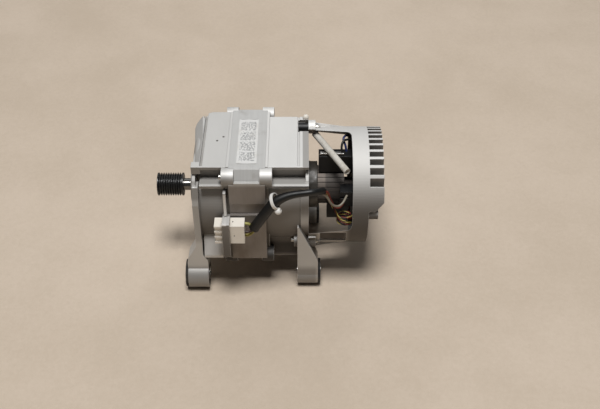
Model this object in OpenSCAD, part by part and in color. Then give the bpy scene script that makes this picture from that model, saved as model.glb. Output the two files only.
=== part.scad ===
// Brushed universal motor of a washing machine.
// The shaft lies along X with the belt pulley at -X, the plug faces -Y and +Z is up.
// The origin is on the shaft axis, in the middle of the belt pulley.

/* [Castings] */
// Outer radius of the round part of both end castings
drum_r = 54; // [50:0.5:60]
// Wall of the castings
wall = 3; // [2.5:0.1:4]
// Height of the flat top above the round part
panel_rise = 2.5; // [2:0.5:6]
// Half width of the flat top
panel_half = 44; // [42:0.5:47]
// Half width of the rear casting's flat top on its back side
rear_back_half = 36; // [32:0.5:44]
// Thickness of the top plate, side flanges, shelves and corner plates
plate_t = 3; // [2.5:0.1:4]
// Rounding of the front casting's shoulder
shoulder_r = 8; // [5:0.5:12]
// Length of the front casting behind its front face
front_len = 35.5; // [34:0.5:56]
// Length of the rear casting
rear_len = 40.5; // [39:0.5:56]
// Reach of the side flanges from the shaft axis
flange_out = 52.5; // [50:0.5:56]
// Height of the side flanges above the shaft axis
flange_z = 41; // [39:0.5:43]
// Half width of the bottom shelves
shelf_half = 57; // [55:0.5:60]
// Depth of the bottom shelves below the shaft axis
shelf_z = 44; // [42:0.5:47]

/* [Stator] */
// Length of the stator stack between the castings
stack_len = 34; // [28:0.5:60]
// Half width of the square stack
stack_half = 57; // [55:0.5:62]
// Chamfer of the stack's corners
stack_chamfer = 9.5; // [8:0.5:10.5]
// Air gap between rotor and poles
air_gap = 0.6; // [0.4:0.1:1]
// Half height of a pole's neck
pole_half = 18; // [14:0.5:20]
// Inner radius of the stator yoke
yoke_r = 47; // [45:0.5:48]
// Half height of a field coil
coil_half = 28; // [26:0.5:31]
// Overhang of a field coil past the stack
coil_over = 9; // [6:0.5:14]

/* [Clamping] */
// Diameter of the clamp bolts
bolt_d = 5; // [4:0.5:5.5]
// Distance of the clamp bolts inside the stack's chamfers, along Y and Z
bolt_in = 3.4; // [3.2:0.1:4]
// Radius of the clamp bosses
boss_r = 8.5; // [8:0.5:9.5]
// Length of a clamp boss on its casting
boss_len = 6.5; // [6:0.5:12]
// Reach of a clamp boss over the stack's corner
boss_lap = 5; // [3:0.5:8]

/* [Feet] */
// Drop of the front foot eyes below the shaft axis
foot_drop = 74.8; // [70:0.2:85]
// Half spacing of the front foot eyes
front_foot_half = 50; // [46:0.5:54]
// Half spacing of the rear foot eyes
rear_foot_half = 45; // [42:0.5:52]
// Outer radius of the front foot eyes
front_eye_r = 14.4; // [13:0.2:17]
// Outer radius of the rear foot eyes
rear_eye_r = 13; // [12.4:0.2:15]
// Length of a foot eye
eye_len = 20.2; // [17:0.2:26]
// Wall of a foot eye
eye_wall = 3.2; // [2.6:0.1:4]
// Thickness of a rubber bush's end flange
bush_flange = 2.8; // [1.5:0.1:4]
// Bore of the steel sleeve in each bush
sleeve_d = 10.2; // [8.2:0.1:11]
// Wall of the steel sleeve
sleeve_wall = 1.4; // [1:0.1:2]

/* [Brush end] */
// Length of the open brush window
window_len = 41.5; // [39:0.5:60]
// Width of the plain ring band
band_len = 15.5; // [14:0.5:24]
// Length of the finned block
fin_len = 14; // [13:0.5:20]
// Rise of the ring above the round castings
ring_rise = 3.5; // [1:0.5:8]
// Wall of the ring and struts
ring_wall = 4; // [3:0.1:5]
// Spacing of the cooling fins
fin_pitch = 7.6; // [6.5:0.1:9]
// Thickness of a cooling fin
fin_t = 2.4; // [1.8:0.1:3]
// Depth of the slots between the fins
slot_depth = 15; // [8:0.5:18]
// Corner radius of the windows
window_corner = 5; // [2:0.5:8]
// Narrowing of each window edge towards the ring
window_taper = 3; // [0:0.5:6]
// Outward flare of the struts at their feet
strut_flare = 3.5; // [0:0.5:7]

/* [Pulley and shaft] */
// Crest diameter of the pulley
pulley_d = 23; // [21:0.5:30]
// Width of the pulley
pulley_w = 25.5; // [25:0.5:34]
// Number of belt grooves
groove_count = 10; // [4:1:10]
// Pitch of the belt grooves
groove_pitch = 2.34; // [2.2:0.02:2.4]
// Depth of a belt groove
groove_depth = 1.8; // [1.2:0.1:2.2]
// Bare shaft between pulley and hub
shaft_gap = 9; // [6:0.5:16]
// Nose of the hub ahead of the front face
hub_depth = 5.25; // [3:0.25:8]
// Shaft diameter at the pulley
tip_d = 12; // [10:0.5:14]
// Shaft diameter through the rotor and the front bearing
shaft_d = 15; // [14.5:0.5:17]
// Shaft diameter at the rear bearing
tail_d = 12; // [10:0.5:13]

/* [Bearings] */
// Outer diameter of the front bearing
front_od = 35; // [32:1:40]
// Width of the front bearing
front_w = 11; // [10:0.5:14]
// Outer diameter of the rear bearing
rear_od = 32; // [30:1:35]
// Width of the rear bearing
rear_w = 10; // [9:0.5:11]
// Diameter of the bearing balls
ball_d = 5.6; // [5:0.1:6]
// Number of balls in a bearing
ball_count = 8; // [6:1:8]
// Metal around a bearing seat
hub_wall = 4.5; // [3:0.5:6]

/* [Rotor] */
// Radius of the rotor
rotor_r = 32.4; // [30:0.2:34]
// Number of winding slots in the rotor
slot_count = 12; // [8:1:24]
// Radius of the commutator
commutator_r = 19; // [17:0.5:21]
// Length of the commutator
commutator_len = 32; // [28:0.5:34]
// Number of commutator bars
bar_count = 24; // [12:1:36]

/* [Brushes] */
// Brush size along the shaft
brush_x = 12; // [8:0.5:14]
// Brush thickness round the commutator
brush_y = 6; // [4:0.5:8]
// Brush length
brush_z = 13; // [11:0.5:15]
// Travel of a brush against its spring
brush_travel = 3; // [2:0.5:3.5]
// Width of a brush holder
holder_w = 12; // [11:0.5:16]

/* [Plug] */
// Length of the plug on the pulley side of its bracket
plug_left = 6.6; // [4:0.2:10]
// Length of the plug on the wire side of its bracket
plug_right = 14; // [10:0.5:20]
// Depth of the plug
plug_depth = 12; // [10:0.2:14]
// Height of the plug
plug_h = 20; // [17:0.5:22]
// Thickness of the plug bracket
bracket_t = 7; // [4:0.5:8]
// Width of the paper label
label_w = 19; // [15:0.5:22]
// Length of the paper label
label_len = 70; // [50:1:80]

/* [Hidden] */
$fn = 64;

// Clearances: loose hole, sliding guide, running gap, press seat and soft contact
loose = 0.2;
slide_gap = 0.15;
run_gap = 0.3;
touch = 0.02;
over = 1;

// Stations along the shaft, from the belt plane
x_hub = pulley_w / 2 + shaft_gap;
x_front = x_hub + hub_depth;
x_joint = x_front + front_len;
x_split = x_joint + stack_len;
x_open = x_split + rear_len;
x_ring = x_open + window_len;
x_cap = x_ring + band_len;
x_end = x_cap + fin_len;

// Section heights shared by the castings and the stack
ring_r = drum_r + ring_rise;
panel_z = drum_r + panel_rise;
overhang = 6;
saddle_half = panel_half - overhang;
bore_r = drum_r - wall;
bolt_c = stack_half - stack_chamfer / 2 - bolt_in;
head_t = bolt_d * 0.7;
washer_t = 1;
x_head = x_split + boss_len - head_t;
x_tip = x_joint - boss_len - 2.5;
corner_r = drum_r + 9;
shoulder_drop = 7;
rim_w = 2.5;
rim_rise = 0.5;
ledge = 3;
end_band = 7.5;
skirt_half = 43;

// Bearing seats
front_hub_r = front_od / 2 + hub_wall;
rear_hub_r = rear_od / 2 + hub_wall;
seat_lip = 3;
x_fb = x_hub + seat_lip;
x_rb = x_ring + 8;
x_seat_end = x_rb + rear_w + 1.2;
back_plate = 4;

// Commutator and brushes
x_com = x_open + 3;
riser = 6;
x_brush = x_com + commutator_len / 2 + 4;
x_holder = x_com + riser + 1;
holder_z = commutator_r + 1.2;
spring_block = 4.1;
cap_t = 1.6;
cap_half = brush_y / 2 + 0.5;
brush_foot = commutator_r + run_gap / 3;
holder_top = brush_foot + brush_z + brush_travel + spring_block;
brush_stagger = 5;
brush_side = 3;
spring_d = brush_y - 1.2;
spring_wire = 0.7;
spring_turns = 4;

// Feet
rear_drop = foot_drop + front_eye_r - rear_eye_r;
x_front_eye = x_front - 9.6;
x_rear_eye = x_open - 10.7;
leg_front_y = shelf_half;
leg_depth = 15;

// Plug on its bracket
x_bracket = x_joint - bracket_t;
plug_back = max(stack_half, drum_r + rim_rise) + 1.4;
plug_front = plug_back + plug_depth;
plug_top = 6.5;
bracket_bar = 2.6;
pin_rows = 4;
rib_count = 4;
latch_d = 1.4;
latch_in = 11;
latch_depth = 1;

// Struts of the brush shield, as angles from +Y towards +Z, and their screws
strut_top = [23, 79];
strut_bottom = [191, 254];
foot_t = 7;
screw_d = 4;
strut_foot_rim = 2.5;
strut_foot_rise = 1.5;
strut_foot_half = 14;
top_screw = [rear_back_half - 9, drum_r - 4];
bottom_screw = [-drum_r * cos(36) - 2, -drum_r * sin(36) - 1.5];
rib_half = 6;
rib_angles = [50, 232];
pocket_depth = 1.5;
spacer_r = 5;
spacer_len = 10;
notch_back = rear_back_half - 5;

// Black block where the thin leads end: its low corner is block_y - block_depth, level with the shaft
block_y = -22;
block_depth = 12;
block_h = 18;
block_reach = 11;

// Routes of the harness and leads, chosen by hand, each point from the seat that it belongs to
harness_d = 10;
harness_thin = 6.5;
lead_d = 1.6;
plug_lead_d = 2.8;
plug_mouth = [x_bracket + bracket_t + plug_right, -plug_back - plug_depth / 2, plug_top - plug_h / 2];
sill = [x_open, -drum_r - harness_d / 2, flange_z];
block = [x_ring, block_y, 0];
brush_top = [x_ring, 0, holder_top];
lead_end_x = x_cap - back_plate + 1;
function from(seat, points) = [for (p = points) seat + p];
harness_route = concat(
    from(plug_mouth, [[8.3, -0.6, 2.5], [11.3, -0.1, 7.5], [20.3, 0.9, 21.5]]),
    from(sill, [[-31, -2, -12], [-18, 0, -6], [-1, 0.5, -3], [7, 3, -4], [14, 9, -8]])
);
earth_route = from(plug_mouth, [[-0.7, 2.4, 6.5], [3.3, 2.4, 6], [5.8, 1.9, 4], [7.7, 1.2, 4.4]]);
brown_route = from(plug_mouth, [[-0.7, -3.6, 1.5], [3.3, -3.6, 1.5], [6.3, -3.1, 2.5], [8.5, -2.5, 4.4]]);
yellow_route = from(plug_mouth,
    [[-0.7, -0.6, -5.5], [3.3, -0.6, -5.5], [7.3, -0.4, -2.5], [10.9, -0.1, 2.7]]);
red_route = concat(
    from(sill, [[14.7, 7, -6.4], [18, 12, -13], [21, 16, -25]]),
    from(block, [[-16.5, -18, 5], [-11.5, -16, 2], [-7.5, -11.5, 4]])
);
white_route = concat(
    from(sill, [[12.3, 7.4, -9.4], [17, 10, -16], [22, 12, -27]]),
    from(block, [[-13.5, -21, 8], [-8.5, -17, 9], [-4.5, -11.5, 14]])
);
blue_route = concat(
    from(brush_top, [[-4.5, 3, -0.5], [-5.5, 5, 4.8], [-7.5, 10, 9.8], [-3.5, 16, 9.8], [4.5, 22, 4.8]]),
    [[lead_end_x, 24, holder_top + 2.8]]
);
black_route = concat(
    from(brush_top, [[-7.5, -3, -0.5], [-9.5, 0, 5.8], [-7.5, 5, 10.8], [-0.5, 9, 9.8], [6.5, 11, 7.8]]),
    [[lead_end_x, 12, holder_top + 6.8]]
);
loop_start = concat(
    from(sill, [[12, 9.8, -6.4], [16, 14, -15], [20, 18, -27]]),
    from(block, [[-18.5, -17, 4], [-15.5, -16, -3]])
);
loop_centre = block + [-6.5, -16, -6];
loop_finish = from(block, [[-3.5, -8, -16], [-1.5, -6, -10], [-1.5, -6, 0.5]]);
sleeve_r = ring_r - ring_wall - 2;
sleeve_angles = [66, 127.5];
sleeve_ends = [
    [x_open + 6.5, sleeve_r * cos(sleeve_angles[0]), sleeve_r * sin(sleeve_angles[0])],
    [x_ring - 5, sleeve_r * cos(sleeve_angles[1]), sleeve_r * sin(sleeve_angles[1])]
];
window_sleeve_d = 6.3;
loop_size = [7, 5.5];
loop_turns = 3.75;
loop_pitch = 2.8;

// Plain shapes that the pieces share
module rod(x, y, z, r, len) {
    translate([x, y, z]) rotate([0, 90, 0]) cylinder(r = r, h = len);
}

module tube(x, y, z, r_out, r_in, len) {
    difference() {
        rod(x, y, z, r_out, len);
        rod(x - over, y, z, r_in, len + 2 * over);
    }
}

module slab(low, high) {
    translate(low) cube(high - low);
}

// A profile drawn as [radius, x], turned about the shaft axis
module turned() {
    rotate([90, 0, 90]) rotate_extrude() children();
}

// A profile drawn as [y, z], carried along the shaft
module section(x, len) {
    translate([x, 0, 0]) rotate([90, 0, 90]) linear_extrude(len) children();
}

// A profile drawn as [x, z], carried across from y = low to y = high
module cross_section(low, high) {
    translate([0, high, 0]) rotate([90, 0, 0]) linear_extrude(high - low) children();
}

module both_sides() {
    children();
    mirror([0, 1, 0]) children();
}

module four_corners() {
    for (y = [-bolt_c, bolt_c], z = [-bolt_c, bolt_c]) translate([0, y, z]) children();
}

module pie(r, from, to) {
    mid = (from + to) / 2;
    reach = r / cos((to - from) / 4);
    polygon([
        [0, 0], r * [cos(from), sin(from)], reach * [cos((from + mid) / 2), sin((from + mid) / 2)],
        r * [cos(mid), sin(mid)], reach * [cos((to + mid) / 2), sin((to + mid) / 2)], r * [cos(to), sin(to)]
    ]);
}

module sector(r_out, r_in, from, to) {
    intersection() {
        difference() {
            circle(r_out);
            circle(r_in);
        }
        pie(2 * r_out, from, to);
    }
}

// A round tube swept along a smoothed route
function unit(v) = v / norm(v);
function at(p, i) = p[max(0, min(len(p) - 1, i))];
function between(a, b, c, d, t) =
    0.5 * (2 * b + (c - a) * t + (2 * a - 5 * b + 4 * c - d) * t * t + (3 * b - 3 * c + d - a) * t * t * t);
function smooth(p, steps) = concat(
    [for (i = [0:len(p) - 2], s = [0:steps - 1])
        between(at(p, i - 1), p[i], p[i + 1], at(p, i + 2), s / steps)],
    [p[len(p) - 1]]
);
function headings(p) = [for (i = [0:len(p) - 1]) unit(at(p, i + 1) - at(p, i - 1))];
function sideways(t) = unit(cross(t, abs(t[2]) < 0.9 ? [0, 0, 1] : [0, 1, 0]));
function carried(t, n, i = 0) =
    i == len(t) ? [] : let (m = unit(n - (n * t[i]) * t[i])) concat([m], carried(t, m, i + 1));

// Least clear distance between stretches of one tube that are at least some rings apart
function least_gap(p, d, apart) =
    min([for (i = [0:len(p) - 1 - apart], j = [i + apart:len(p) - 1]) norm(p[i] - p[j])]) - d;

function size_at(d, i) = is_list(d) ? d[i] : d;

module swept(p, d, sides) {
    t = headings(p);
    n = carried(t, sideways(t[0]));
    last = (len(p) - 1) * sides;
    ring = [for (i = [0:len(p) - 1], k = [0:sides - 1])
        p[i] + size_at(d, i) / 2
            * (cos(360 * k / sides) * n[i] + sin(360 * k / sides) * cross(t[i], n[i]))];
    walls = [for (i = [0:len(p) - 2], k = [0:sides - 1], half = [0, 1])
        let (a = i * sides + k, b = i * sides + (k + 1) % sides)
        half == 0 ? [a, a + sides, b + sides] : [a, b + sides, b]];
    ends = [for (k = [1:sides - 2], far = [0, 1])
        far == 0 ? [0, k, k + 1] : [last, last + k + 1, last + k]];
    polyhedron(ring, concat(walls, ends));
}

// Shared section of the two castings outside the round drum
module casting_wings(back_half, shelves) {
    translate([-saddle_half, 0]) square([saddle_half + back_half - overhang, panel_z - plate_t / 2]);
    translate([-panel_half, panel_z - plate_t]) square([panel_half + back_half, plate_t]);
    for (side = [-1, 1]) scale([side, 1]) translate([bore_r * 0.6, flange_z - plate_t])
        square([flange_out - bore_r * 0.6, plate_t]);
    if (shelves) translate([-shelf_half, -shelf_z - plate_t]) square([2 * shelf_half, plate_t]);
}

// Plates that close the corner channels at the outer end of a casting
module corner_plates(x, top) {
    section(x, plate_t) intersection() {
        circle(corner_r);
        translate([-corner_r, flange_z - plate_t]) square([2 * corner_r, top - flange_z + plate_t]);
    }
}

module rim(x) {
    section(x, rim_w) {
        square(2 * bolt_c, center = true);
        translate([-panel_half, bolt_c - over]) square([2 * panel_half, panel_z + rim_rise - bolt_c + over]);
    }
}

// Bosses for the clamp bolts, the lower pair a little slimmer, larger by spare where they cut the stack
module clamp_bosses(x, spare = 0) both_sides() {
    rod(x, bolt_c, bolt_c, boss_r + spare, boss_len + boss_lap);
    rod(x, bolt_c, -bolt_c, boss_r - 1 + spare, boss_len + boss_lap);
}

module eye(x, y, drop, r) {
    rod(x, y, -drop, r, eye_len);
}

// Front casting: drum with a rounded shoulder, hub, flat top, corner channels, feet and plug bracket
module front_shield() color("silver") difference() {
    union() {
        turned() {
            translate([0, x_front]) square([drum_r - shoulder_r, front_len]);
            translate([0, x_front + shoulder_r]) square([drum_r, front_len - shoulder_r]);
            translate([drum_r - shoulder_r, x_front + shoulder_r]) circle(shoulder_r);
            polygon([[0, x_hub], [front_hub_r - 2, x_hub], [front_hub_r, x_hub + 2],
                [front_hub_r + 5, x_front + 1], [0, x_front + 1]]);
        }
        section(x_front + shoulder_r, front_len - shoulder_r) casting_wings(panel_half, true);
        front_shoulder();
        corner_plates(x_front + 1, panel_z - shoulder_drop - 1);
        rim(x_joint - rim_w);
        clamp_bosses(x_joint - boss_len);
        both_sides() {
            front_leg();
            front_skirt();
        }
        plug_bracket();
    }
    turned() {
        translate([front_hub_r, x_front + wall]) square([bore_r - front_hub_r, front_len]);
        translate([0, x_fb + front_w]) square([bore_r, front_len]);
        translate([0, x_fb]) square([front_od / 2, front_w + over]);
        translate([0, x_hub - over]) square([tip_d / 2 + 2, seat_lip + 2 * over]);
    }
    four_corners()
        rod(x_tip - over, 0, 0, bolt_d / 2 + loose, x_joint - x_tip + boss_lap + 2 * over);
    both_sides()
        rod(x_front_eye - over, front_foot_half, -foot_drop, front_eye_r - eye_wall, eye_len + 2 * over);
    top_groove(x_front + shoulder_r + 0.6, 2.4, 2.2);
    back_corner();
    slab([x_bracket - over, -plug_front - slide_gap, plug_top - plug_h - slide_gap],
        [x_bracket + bracket_t + over, -plug_back + slide_gap, plug_top + slide_gap]);
}

// Sloping front end of the flat top, a little askew, with the square ear at its plug-side corner
module front_shoulder() {
    plan_r = 13;
    depth = shoulder_r + 4;
    skew = 4.5;
    nose = 1.6;
    top = panel_z - 0.6;
    translate([x_front + 0.5, 0, 0]) rotate(skew) intersection() {
        cross_section(-panel_half, panel_half) polygon([
            [0, 0], [0, top - shoulder_drop], [nose, top - shoulder_drop + nose], [shoulder_r, top],
            [depth, top], [depth, 0]
        ]);
        translate([0, 0, flange_z - over]) linear_extrude(panel_z - flange_z + over) {
            translate([0, -saddle_half + plan_r]) square([depth, 2 * (saddle_half - plan_r)]);
            for (y = [-saddle_half + plan_r, saddle_half - plan_r]) translate([plan_r, y]) circle(plan_r);
        }
    }
    slab([x_front + 0.6, -panel_half, panel_z - shoulder_drop - 1],
        [x_front + shoulder_r + over, -panel_half + 8, panel_z]);
}

// Cutter that rounds the back corner of the front casting's flat top
module back_corner() {
    r = 9;
    x0 = x_front + shoulder_r;
    difference() {
        slab([x0 - over, panel_half - r, flange_z + over], [x0 + r, panel_half + over, panel_z + over]);
        translate([x0 + r, panel_half - r, 0]) cylinder(r = r, h = 2 * panel_z);
    }
}

// Groove across a flat top
module top_groove(x, width, depth) {
    slab([x, -panel_half + 2, panel_z - depth], [x + width, panel_half - 2, panel_z + over]);
}

// Leg of the front casting, flared to the width of its eye
module front_leg() {
    neck = [x_front + 0.5, x_front + 6.5];
    knee = -shelf_z + 13;
    top = flange_z - plate_t;
    intersection() {
        cross_section(leg_front_y - leg_depth, leg_front_y) polygon([
            [x_front + 1, top], [neck[1], top], [neck[1], -shelf_z], [x_front_eye + eye_len, -shelf_z - 8],
            [x_front_eye + eye_len, -foot_drop], [x_front_eye, -foot_drop], [x_front_eye, -shelf_z - 10],
            [x_front_eye + 1.5, -shelf_z - 3], [x_front_eye + 6, -shelf_z + 5], [neck[0], knee],
            [neck[0], top - 18],
            [x_front + 1, top - 7]
        ]);
        section(x_front_eye, x_joint - x_front_eye) polygon([
            [0, top], [flange_out - 1, top], [leg_front_y, top - 18], [leg_front_y, -foot_drop],
            [0, -foot_drop]
        ]);
    }
    eye(x_front_eye, front_foot_half, foot_drop, front_eye_r);
}

// Sloping skirt from the drum down to the edge of the bottom shelf
module front_skirt() {
    top = -24;
    inside = bore_r * 0.8;
    section(x_front + shoulder_r, front_len - shoulder_r) polygon([
        [sqrt(drum_r * drum_r - top * top), top], [shelf_half, -shelf_z], [shelf_half, -shelf_z - plate_t],
        [inside, -shelf_z - plate_t], [inside, top]
    ]);
}

// Bracket that carries the plug, with the thin rib above it
module plug_bracket() {
    x_rib = x_joint - 5.4;
    front = plug_front + bracket_bar;
    top = plug_top + 4;
    section(x_bracket, bracket_t) polygon([
        [-front, top], [-plug_front, top], [-plug_back + 2, plug_top + 1.5], [-bore_r * 0.8, plug_top - 4],
        [-bore_r * 0.8, -shelf_z - plate_t], [-shelf_half, -shelf_z - plate_t],
        [-front, plug_top - plug_h - 16]
    ]);
    slab([x_rib, -plug_back - 0.6, 0], [x_rib + 2.5, -bore_r * 0.8, 37]);
}

// Rear casting between the stack and the brush window
module rear_shell() color("silver") difference() {
    union() {
        section(x_split, rear_len) {
            circle(drum_r);
            casting_wings(rear_back_half, false);
        }
        section(x_open - end_band, end_band) circle(drum_r + 1.5);
        section(x_split, rear_len - end_band - 1) translate([-skirt_half, -stack_half])
            square([2 * skirt_half, stack_half - flange_z / 2]);
        corner_plates(x_open - plate_t, panel_z);
        rim(x_split);
        clamp_bosses(x_split - boss_lap);
        both_sides() rear_leg();
        rod(x_open - spacer_len - 4, bottom_screw[0], bottom_screw[1], spacer_r + 2, spacer_len + 4);
    }
    turned() translate([0, x_split - over]) square([bore_r, rear_len + 2 * over]);
    four_corners() {
        rod(x_split - boss_lap - over, 0, 0, bolt_d / 2 + loose, boss_len + boss_lap + 2 * over);
        rod(x_head - washer_t, 0, 0, bolt_d * 1.15 + loose, boss_len);
    }
    both_sides()
        rod(x_rear_eye - over, rear_foot_half, -rear_drop, rear_eye_r - eye_wall, eye_len + 2 * over);
    top_groove(x_open - 10.5, 2, 0.8);
    for (p = [top_screw, bottom_screw]) {
        rod(x_open - spacer_len, p[0], p[1], spacer_r + touch, spacer_len + over);
        rod(x_open - spacer_len - 8, p[0], p[1], screw_d / 2, 8 + over);
    }
    slab([x_open - spacer_len, top_screw[0] - 15, top_screw[1] - spacer_r - over],
        [x_open + over, notch_back, panel_z + over]);
}

module rear_leg() {
    difference() {
        cross_section(leg_front_y - leg_depth, leg_front_y) polygon([
            [x_rear_eye, -7], [x_rear_eye + 1.2, -7], [x_rear_eye + eye_len - 2.2, -shelf_z - 3],
            [x_rear_eye + eye_len, -shelf_z - 10], [x_rear_eye + eye_len, -rear_drop],
            [x_rear_eye, -rear_drop]
        ]);
        rod(x_open, 0, 0, ring_r + strut_flare + run_gap, window_len);
        rod(x_open, -bottom_screw[0], bottom_screw[1], spacer_r + strut_foot_rim + run_gap, window_len);
    }
    eye(x_rear_eye, rear_foot_half, rear_drop, rear_eye_r);
}

// Brush-end casting: two struts, the ring, the rear bearing seat and the finned block
module brush_shield() color("lightgray") difference() {
    union() {
        section(x_open + touch, x_cap - x_open - touch) difference() {
            circle(ring_r);
            circle(ring_r - ring_wall);
        }
        section(x_cap - back_plate, back_plate) circle(ring_r - touch);
        rod(x_ring + 6, 0, 0, rear_hub_r, x_end - x_ring - 7);
        strut_foot(top_screw);
        strut_foot(bottom_screw);
        for (angle = rib_angles) strut_rib(angle);
        finned_block();
        both_sides() rod(x_cap - over, ring_r - 7.5, 5, 5.5, 9 + over);
    }
    brush_window(strut_top[1], strut_bottom[0]);
    brush_window(strut_bottom[1], strut_top[0] + 360);
    section(x_open + foot_t + 4, window_len - foot_t - 9)
        sector(ring_r + over, ring_r - pocket_depth, strut_bottom[0] + 4, strut_bottom[0] + 24);
    turned() {
        translate([0, x_ring + 5]) square([tail_d / 2 + 4, band_len + fin_len]);
        translate([0, x_ring + 5]) square([rear_od / 2, x_seat_end - x_ring - 5]);
        translate([0, x_seat_end + 1.5]) square([rear_od / 2, fin_len]);
    }
    for (p = [top_screw, bottom_screw]) {
        rod(x_open - over, p[0], p[1], screw_d / 2 + loose, foot_t + 2 * over);
        rod(x_open + foot_t, p[0], p[1], screw_d * 0.95 + run_gap, 5);
    }
    for (side = [-1, 1], y = [-1, 1])
        rod(x_cap - back_plate - over, y * holder_w / 2, side * (holder_top + 3), 1.5, 5);
}

// A window right through the tube, rounded where it meets the ring
module brush_window(from, to) {
    half = ring_r * sin(min(80, (to - from) / 2));
    rotate([(from + to) / 2 - 90, 0, 0]) linear_extrude(2 * ring_r) {
        polygon([[x_open - over, -half - window_taper], [x_ring - window_corner, -half],
            [x_ring - window_corner, half], [x_open - over, half + window_taper]]);
        translate([x_ring - 2 * window_corner, -half + window_corner])
            square([2 * window_corner, 2 * (half - window_corner)]);
        for (y = [-1, 1])
            translate([x_ring - window_corner, y * (half - window_corner)]) circle(window_corner);
    }
}

module strut_foot(p) {
    reach = norm(p);
    rod(x_open + touch, p[0], p[1], spacer_r + strut_foot_rim, foot_t - touch);
    intersection() {
        section(x_open + touch, foot_t - touch) {
            angle = atan2(p[1], p[0]);
            sector(ring_r + strut_foot_rise, min(reach, ring_r - ring_wall) - 3,
                angle - strut_foot_half, angle + strut_foot_half);
        }
        slab([x_open, -2 * ring_r, -2 * ring_r], [x_ring, 2 * ring_r, 2 * ring_r]);
    }
}

// Rib along the outside of a strut, flared out towards its foot
module strut_rib(angle) {
    rotate([angle - 90, 0, 0]) cross_section(-rib_half, rib_half) polygon([
        [x_open + touch, ring_r - ring_wall], [x_open + touch, ring_r + strut_flare],
        [x_open + foot_t, ring_r + strut_flare],
        [x_ring + 4, ring_r - 1.5], [x_ring + 4, ring_r - ring_wall]
    ]);
}

// Upper rear block with upright cooling slots, cut back at its lower corners
module finned_block() {
    low = 12;
    fin_shift = 1.5;
    slots = 2 * floor(0.8 * ring_r / fin_pitch);
    difference() {
        section(x_cap - touch, fin_len + touch) intersection() {
            circle(ring_r);
            translate([-ring_r, low]) square([2 * ring_r, ring_r]);
        }
        turned() translate([rear_hub_r - over, x_cap + touch])
            square([ring_r - slot_depth - 3 - rear_hub_r + over, fin_len - 4]);
        for (k = [0:slots - 1]) difference() {
            translate([0, (k - slots / 2 + 0.5) * fin_pitch - fin_shift, 0])
                slab([x_cap + 0.5, (fin_t - fin_pitch) / 2, low + 10],
                    [x_end + over, (fin_pitch - fin_t) / 2, ring_r + over]);
            rod(x_cap, 0, 0, ring_r - slot_depth, fin_len + 2 * over);
        }
        both_sides() cross_section(ring_r - 22, ring_r + over)
            polygon([[x_end - 9, low - over], [x_end + over, low - over], [x_end + over, low + 10],
                [x_end, low + 9]]);
    }
}

// Stator laminations: chamfered square yoke with two poles that face the rotor from front and back
module stator_stack() color("gray") difference() {
    section(x_joint, stack_len) difference() {
        union() {
            difference() {
                stack_outline();
                circle(yoke_r);
            }
            intersection() {
                circle(yoke_r + over);
                square([2 * yoke_r + 2, 2 * pole_half], center = true);
            }
            for (a = [0, 180]) sector(rotor_r + air_gap + 4, rotor_r, a - 55, a + 55);
        }
        circle(rotor_r + air_gap);
    }
    four_corners() rod(x_joint - over, 0, 0, bolt_d / 2 + loose, stack_len + 2 * over);
    for (x = [x_joint - boss_len, x_split - boss_lap]) clamp_bosses(x, slide_gap);
    for (side = [-1, 1])
        slab([x_joint - over, side * stack_half - 2.5, 9], [x_split + over, side * stack_half + 2.5, 23]);
}

// Square with chamfered corners, and a ledge below each chamfer
module stack_outline() {
    short = stack_half - stack_chamfer;
    corner = [[stack_half, short], [stack_half - ledge, short], [short, stack_half]];
    polygon([for (side = [[1, 1], [-1, 1], [-1, -1], [1, -1]], k = [0:2])
        let (p = corner[side[0] * side[1] > 0 ? k : 2 - k]) [side[0] * p[0], side[1] * p[1]]]);
}

// A field coil wound round one pole neck
module field_coil(side) {
    color("chocolate") intersection() {
        difference() {
            rod(x_joint - coil_over, 0, 0, yoke_r - run_gap, stack_len + 2 * coil_over);
            rod(x_joint - coil_over - over, 0, 0, rotor_r + air_gap + 4 + run_gap,
                stack_len + 2 * coil_over + 2 * over);
        }
        cross_section(side > 0 ? over : -yoke_r, side > 0 ? yoke_r : -over) difference() {
            coil_outline(coil_over, coil_half);
            coil_outline(run_gap, pole_half + run_gap);
        }
    }
}

module coil_outline(reach, half) {
    r = min(reach, 8);
    x0 = x_joint - reach;
    long = stack_len + 2 * reach;
    translate([x0 + r, -half]) square([long - 2 * r, 2 * half]);
    translate([x0, -half + r]) square([long, 2 * half - 2 * r]);
    for (x = [x0 + r, x0 + long - r], z = [-half + r, half - r]) translate([x, z]) circle(r);
}

module field_coil_front() { field_coil(-1); }

module field_coil_rear() { field_coil(1); }

// Clamp bolts: heads on the rear bosses, tips standing out of the front bosses
module clamp_bolts() color("gainsboro") four_corners() {
    rod(x_tip, 0, 0, bolt_d / 2, x_head - x_tip + touch);
    difference() {
        rod(x_head, 0, 0, bolt_d * 0.85, head_t);
        translate([x_head + head_t / 2, 0, 0]) rotate([0, 90, 0])
            cylinder(r = bolt_d * 0.5, h = head_t, $fn = 6);
    }
}

module clamp_washers() color("gainsboro") four_corners()
    tube(x_head - washer_t, 0, 0, bolt_d * 1.1, bolt_d / 2 + touch, washer_t);

// Screws and black spacers that hold the struts to the rear casting
module strut_screws() color("gainsboro") for (p = [top_screw, bottom_screw]) {
    rod(x_open - spacer_len - 7, p[0], p[1], screw_d / 2 - touch, spacer_len + foot_t + 7 + touch);
    difference() {
        rod(x_open + foot_t, p[0], p[1], screw_d * 0.95, 2.8);
        slab([x_open + foot_t + 1.6, p[0] - screw_d, p[1] - 0.5],
            [x_open + foot_t + 4, p[0] + screw_d, p[1] + 0.5]);
    }
}

module strut_spacers() color("black") for (p = [top_screw, bottom_screw])
    tube(x_open - spacer_len + touch, p[0], p[1], spacer_r, screw_d / 2, spacer_len - touch);

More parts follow.
